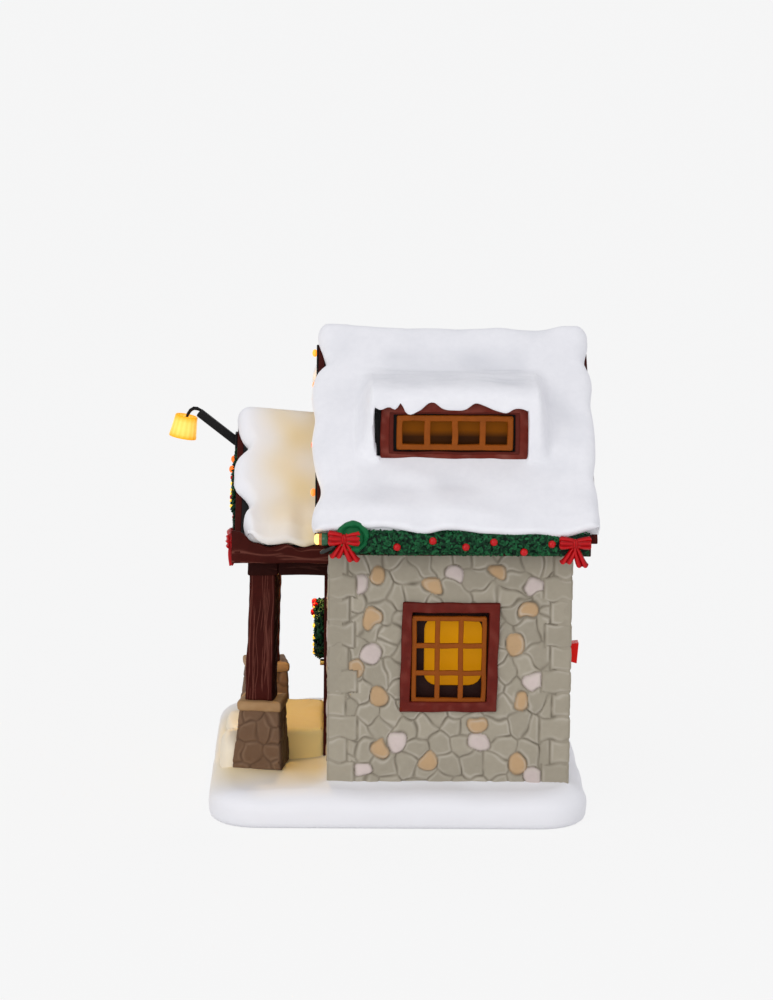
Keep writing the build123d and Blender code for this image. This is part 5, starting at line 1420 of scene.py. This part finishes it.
def make_sockets():
    """Sockets: ribbed green cups; at the eave corner a faintly glowing amber ring and a black strap below."""
    cup = [(2.0, -0.2), (2.0, 0.2), (1.8, 0.3), (1.8, 0.5), (1.95, 0.6), (1.9, 0.8), (1.2, 0.85)]
    corner_cup = [(2.2, -0.6), (2.4, -0.3), (2.4, 1.5), (2.2, 1.8)]
    corner_ring = [(2.1, 1.7), (2.3, 1.85), (2.25, 2.7), (1.9, 2.95)]
    strap = np.linspace((81.0, -31.0, 108.9), (83.0, -25.4, 112.2), 8)
    strap_radii = np.array([0.5, 0.8, 0.85, 0.85, 0.85, 0.85, 0.8, 0.5])
    makers = [(x, tinted(turned(cup, light_place(x), to_front), socket_green)) for x in light_colors]
    makers.append((1, tinted(turned(corner_cup, corner_light, to_front, 20), socket_green)))
    # The amber ring's faint glow is painted light of the bulb that it holds.
    makers.append((1, tinted(turned(corner_ring, corner_light, to_front, 20), ring_amber_glow, 0.4)))
    makers.append((1, tinted(sweep(strap, strap_radii), strap_black)))
    return both_slopes(makers)


bulb_finish = coat("bulb_glass", corner_color, bulb_deep, mottle=0.2, rough=0.12, grain=0.05, gloss=0.5,
                   tinted=True, lit=1.3)
socket_finish = coat("socket_plastic", socket_green, socket_dark, mottle=0.3, rough=0.1, grain=0.1, gloss=0.5,
                     tinted=True, lit=1.0)
wire_finish = coat("wire_rubber", wire_black, wire_dark, mottle=0.4, rough=0.35, grain=0.2)
add_piece("gable_bulbs", make_bulbs(), bulb_finish, ["gable_light_bulbs"])
add_piece("gable_sockets", make_sockets(), socket_finish, ["gable_light_sockets"])
dress(wire_finish, "gable_light_wire", "wiring")
dress(glow("led_glow", led_light, led_deep, 40, 150, 1.0), "leds")


# Sign lamp.
# A square black metal arm is screwed to the porch gable over a blank board.
# Its hook carries a fluted shade of translucent plastic, lit from inside.
shade_top = (0, -85.87, 149.8)
shade_tilt = np.radians(10.6)
arm_root, arm_tip = 138.94, 151.12
shade_yellow = (255, 214, 112)
shade_orange = (236, 158, 20)


def make_shade():
    """Shade: a fluted cone with a thin wall, its rings square to a leaning axis, open at both ends."""
    turn = np.linspace(0, 2 * np.pi, 97)[:-1]
    stations = [(4.0, 0.1), (4.3, 0.0), (4.5, 0.2), (4.75, 2.5), (5.05, 5.0), (5.35, 7.4), (5.6, 8.9),
                (5.5, 9.1), (5.2, 9.0), (4.95, 7.4), (4.35, 2.5), (4.0, 0.5)]
    radius, down = np.array(stations).T
    flute = np.cos(15 * turn)
    grow = 1 + 0.008 * flute
    away = np.array([0, -np.sin(shade_tilt), -np.cos(shade_tilt)])
    side = np.array([0, -np.cos(shade_tilt), np.sin(shade_tilt)])
    ring = np.cos(turn)[:, None] * np.array([1.0, 0, 0]) + np.sin(turn)[:, None] * side
    points = np.array(shade_top) + down[:, None, None] * away + (radius[:, None] * grow)[..., None] * ring
    # Painted light and shade of the lamp inside: paler in the middle band and on the sides facing the house's
    # sides, deeper orange at the top, the hem, the flute grooves and the sides facing front and back.
    hem = np.where((down < 0.4) | (down > 8.7), 0.7, 0.0)[:, None]
    belt = 0.5 * np.abs(down[:, None] / 4.5 - 1) ** 2
    hollow = np.clip(0.2 - 0.12 * flute + 0.2 * (1 - np.abs(np.cos(turn))) + belt + hem, 0, 1)
    return skin(points, around=True, along=True, hollow=hollow, lit=np.ones(hollow.shape))


shade_glow = coat("shade_glow", shade_yellow, shade_orange, mottle=0.1, rough=0.2, grain=0.1, lit=0.62)
add_piece("lamp_shade_fluted", make_shade(), shade_glow, ["lamp_shade"])


def make_lamp_arm():
    """Arm: a wall plate, a square bar sloping up and a thin hook that bends over into the bulb holder."""
    plate = rounded_bar((0, -65.0, arm_root), (0, -66.2, arm_root), 3.9, 3.9, 0.8)
    bar = rounded_bar((0, -65.2, arm_root), (0, -80.9, arm_tip), 1.65, 1.65, 0.35)
    bend = [(0, -80.0, 151.9), (0, -81.6, 152.6), (0, -83.0, 152.7), (0, -84.3, 151.9), (0, -85.3, 150.4),
            (0, -86.0, 148.4)]
    hook = sweep(bend, np.array([0.5, 0.75, 0.75, 0.7, 0.65, 0.5]))
    away = (0, -np.sin(shade_tilt), -np.cos(shade_tilt))
    holder = turned([(0.7, 0.6), (1.7, 0.8), (1.9, 1.4), (1.9, 2.6), (1.5, 3.0)], shade_top, away, 20)
    return join([plate, bar, hook, holder])


add_piece("lamp_arm_bar", make_lamp_arm(), board_black, ["lamp_arm"])


# Door and sign board.
# The door is four upright boards with two battens, and the sign over it is blank.
# Both are cast with a carved grain and painted brown. The knob is brass.
door_brown = (96, 46, 28)
door_dark = (40, 17, 10)
door_light = (150, 96, 66)


def make_door():
    """Door: upright boards side by side, with two battens across."""
    boards = [plank((x, -27.0, 26.4), (x, -27.0, 81.6), (1, 0, 0), 3.15, 1.4, 0.4, 111 + k, uneven=0.1)
              for k, x in enumerate(np.linspace(-9.6, 9.6, 4))]
    battens = [plank((-11.4, -28.3, z), (11.4, -28.3, z), (0, 0, 1), 2.2, 0.5, 0.25, 116 + k, uneven=0.06)
               for k, z in enumerate((33, 74))]
    return join(boards + battens)


def make_sign():
    """Sign board: two carved boards, one above the other."""
    boards = [plank((-18.4, -63.6, z), (18.4, -63.6, z), (0, 0, 1), 3.2, 0.8, 0.3, 118 + k, uneven=0.08)
              for k, z in enumerate((108.8, 115.2))]
    return join(boards)


door_finish = coat("door_paint", door_brown, door_dark, door_light, mottle=0.35, rough=0.35, grain=0.3)
add_piece("door_boards", make_door(), door_finish, ["door_leaf"])
add_piece("sign_boards", make_sign(), door_finish, ["sign_board"])
brass = coat("knob_brass", (206, 164, 84), (120, 86, 32), mottle=0.3, rough=0.1, grain=0.05)
brass.node_tree.nodes["Principled BSDF"].inputs["Metallic"].default_value = 1.0
softened("door_knob_soft", "door_knob", brass, 0.2)


# Switch.
# A snap-in rocker switch of moulded plastic in the back wall.
# The red rocker tips in a black case.
rocker_red = coat("rocker_plastic", (252, 26, 18), (170, 8, 8), mottle=0.15, rough=0.12, grain=0.08)
switch_black = coat("switch_plastic", (26, 26, 27), (10, 10, 10), mottle=0.3, rough=0.35, grain=0.25)
softened("rocker_cap", "switch_rocker", rocker_red, 0.25, "switch_rocker")
softened("switch_case", "switch_housing", switch_black, 0.25)


# Underside and works.
# A black moulded plate is screwed into the ground casting, with a battery box and its hinged door.
# Steel springs and contacts hold three plain cells, and a post carries the lamp board.
plate_plastic = coat("plate_plastic", (32, 32, 33), (14, 14, 14), mottle=0.3, rough=0.45, grain=0.6)
steel = coat("steel", (190, 190, 192), (120, 120, 124), mottle=0.3, rough=0.15, grain=0.05)
steel.node_tree.nodes["Principled BSDF"].inputs["Metallic"].default_value = 1.0
cell_grey = coat("cell_sleeve", (84, 86, 92), (50, 51, 56), mottle=0.2, rough=0.25, grain=0.1)
board_green = coat("lamp_board", (28, 78, 46), (12, 40, 24), mottle=0.3, rough=0.35, grain=0.2)
dress(plate_plastic, "base_plate", "battery_box", "battery_hatch")
dress(steel, "base_plate_screws", "battery_springs", "battery_contacts", "battery_hatch_pin")
dress(cell_grey, "battery_cells")
dress(board_green, "led_post")


# Camera, light and floor, as a plain studio sees the house from its right-hand side.
# A wide soft lamp stands above and to the left, and the pale floor keeps a faint shadow.
bulb_light = (1.0, 0.68, 0.22)


def seen_directly(nodes, link):
    """One for what the eye sees straight, mirrored or through glass, and zero for other light."""
    path = nodes.new("ShaderNodeLightPath")
    seen = path.outputs["Is Camera Ray"]
    for ray in ("Is Glossy Ray", "Is Transmission Ray"):
        seen = calculate(nodes, link, "MAXIMUM", seen, path.outputs[ray])
    return seen


def make_stage():
    """Wide pale floor just under the house, nearly as bright as the background and with a faint shadow."""
    floor_level = -0.1 * mm
    reach = 40
    corners = [(-reach, -reach), (reach, -reach), (reach, reach), (-reach, reach)]
    floor_mesh = bpy.data.meshes.new("floor")
    floor_mesh.from_pydata([(x, y, floor_level) for x, y in corners], [], [(0, 1, 2, 3)])
    floor = bpy.data.objects.new("floor", floor_mesh)
    bpy.context.scene.collection.objects.link(floor)
    material, nodes, link, shader = new_material("studio_floor")
    shader.inputs["Base Color"].default_value = paint(240, 240, 240)
    shader.inputs["Roughness"].default_value = 0.9
    bright = nodes.new("ShaderNodeEmission")
    bright.inputs["Color"].default_value = paint(248, 248, 248)
    mix = nodes.new("ShaderNodeMixShader")
    link(calculate(nodes, link, "MULTIPLY", seen_directly(nodes, link), 0.93), mix.inputs[0])
    link(shader.outputs[0], mix.inputs[1])
    link(bright.outputs[0], mix.inputs[2])
    link(mix.outputs[0], nodes["Material Output"].inputs["Surface"])
    floor_mesh.materials.append(material)


def make_world():
    """Soft light from all round, seen as a plain pale background."""
    world = bpy.data.worlds.new("studio")
    bpy.context.scene.world = world
    world.use_nodes = True
    nodes, link = world.node_tree.nodes, world.node_tree.links.new
    around = nodes["Background"]
    around.inputs["Color"].default_value = paint(250, 250, 255)
    around.inputs["Strength"].default_value = 0.72
    seen_color = nodes.new("ShaderNodeBackground")
    seen_color.inputs["Color"].default_value = paint(247, 247, 247)
    mix = nodes.new("ShaderNodeMixShader")
    link(seen_directly(nodes, link), mix.inputs[0])
    link(around.outputs[0], mix.inputs[1])
    link(seen_color.outputs[0], mix.inputs[2])
    link(mix.outputs[0], nodes["World Output"].inputs["Surface"])


def hang_lamp(name, kind, place, energy, color):
    """Lamp of one kind at its place, unseen itself."""
    lamp = bpy.data.lights.new(name, kind)
    lamp.energy = energy
    lamp.color = color
    holder = bpy.data.objects.new(name, lamp)
    holder.location = place
    holder.visible_camera = False
    bpy.context.scene.collection.objects.link(holder)
    return lamp, holder


def add_area(name, place, energy, color):
    """Wide soft lamp that looks at the house."""
    aim = Vector((0, 0, 0.1))
    lamp, holder = hang_lamp(name, "AREA", place, energy, color)
    lamp.size = 1.2
    holder.rotation_euler = (aim - Vector(place)).to_track_quat("-Z", "Y").to_euler()


def add_glow(name, place, energy, radius):
    """Warm light of a small bulb, with its place and radius in millimetres."""
    lamp, _ = hang_lamp(name, "POINT", Vector(place) * mm, energy, bulb_light)
    lamp.shadow_soft_size = radius * mm


def add_camera():
    """Camera at the photograph's height and angle, with its slight roll."""
    place = Vector((1.32491, -0.02775, 0.34759))
    aim = Vector((0, -0.00448, 0.11554))
    roll = np.radians(0.6)
    camera = bpy.data.cameras.new("photo_camera")
    camera.sensor_fit = "VERTICAL"
    camera.sensor_height = 36
    camera.lens = 118.8
    holder = bpy.data.objects.new("photo_camera", camera)
    holder.location = place
    holder.rotation_mode = "QUATERNION"
    holder.rotation_quaternion = (aim - place).to_track_quat("-Z", "Y") @ Quaternion((0, 0, 1), roll)
    bpy.context.scene.collection.objects.link(holder)
    bpy.context.scene.camera = holder


make_stage()
make_world()
add_area("key", (1.5, -0.7, 0.75), 8.5, (1, 0.99, 0.97))
add_area("fill", (1.3, 1.1, 0.6), 2.0, (0.97, 0.98, 1))
add_glow("porch_light", (0, -42, 95), 0.085, 4)
for index, x in enumerate((19, 38, 57)):
    for side in (-1, 1):
        glow_place = (side * x, -37.5, light_place(x)[2])
        add_glow(f"gable_light_{index}_{side}", glow_place, 0.0014, 6)
add_camera()
bpy.context.scene.view_settings.view_transform = "Standard"
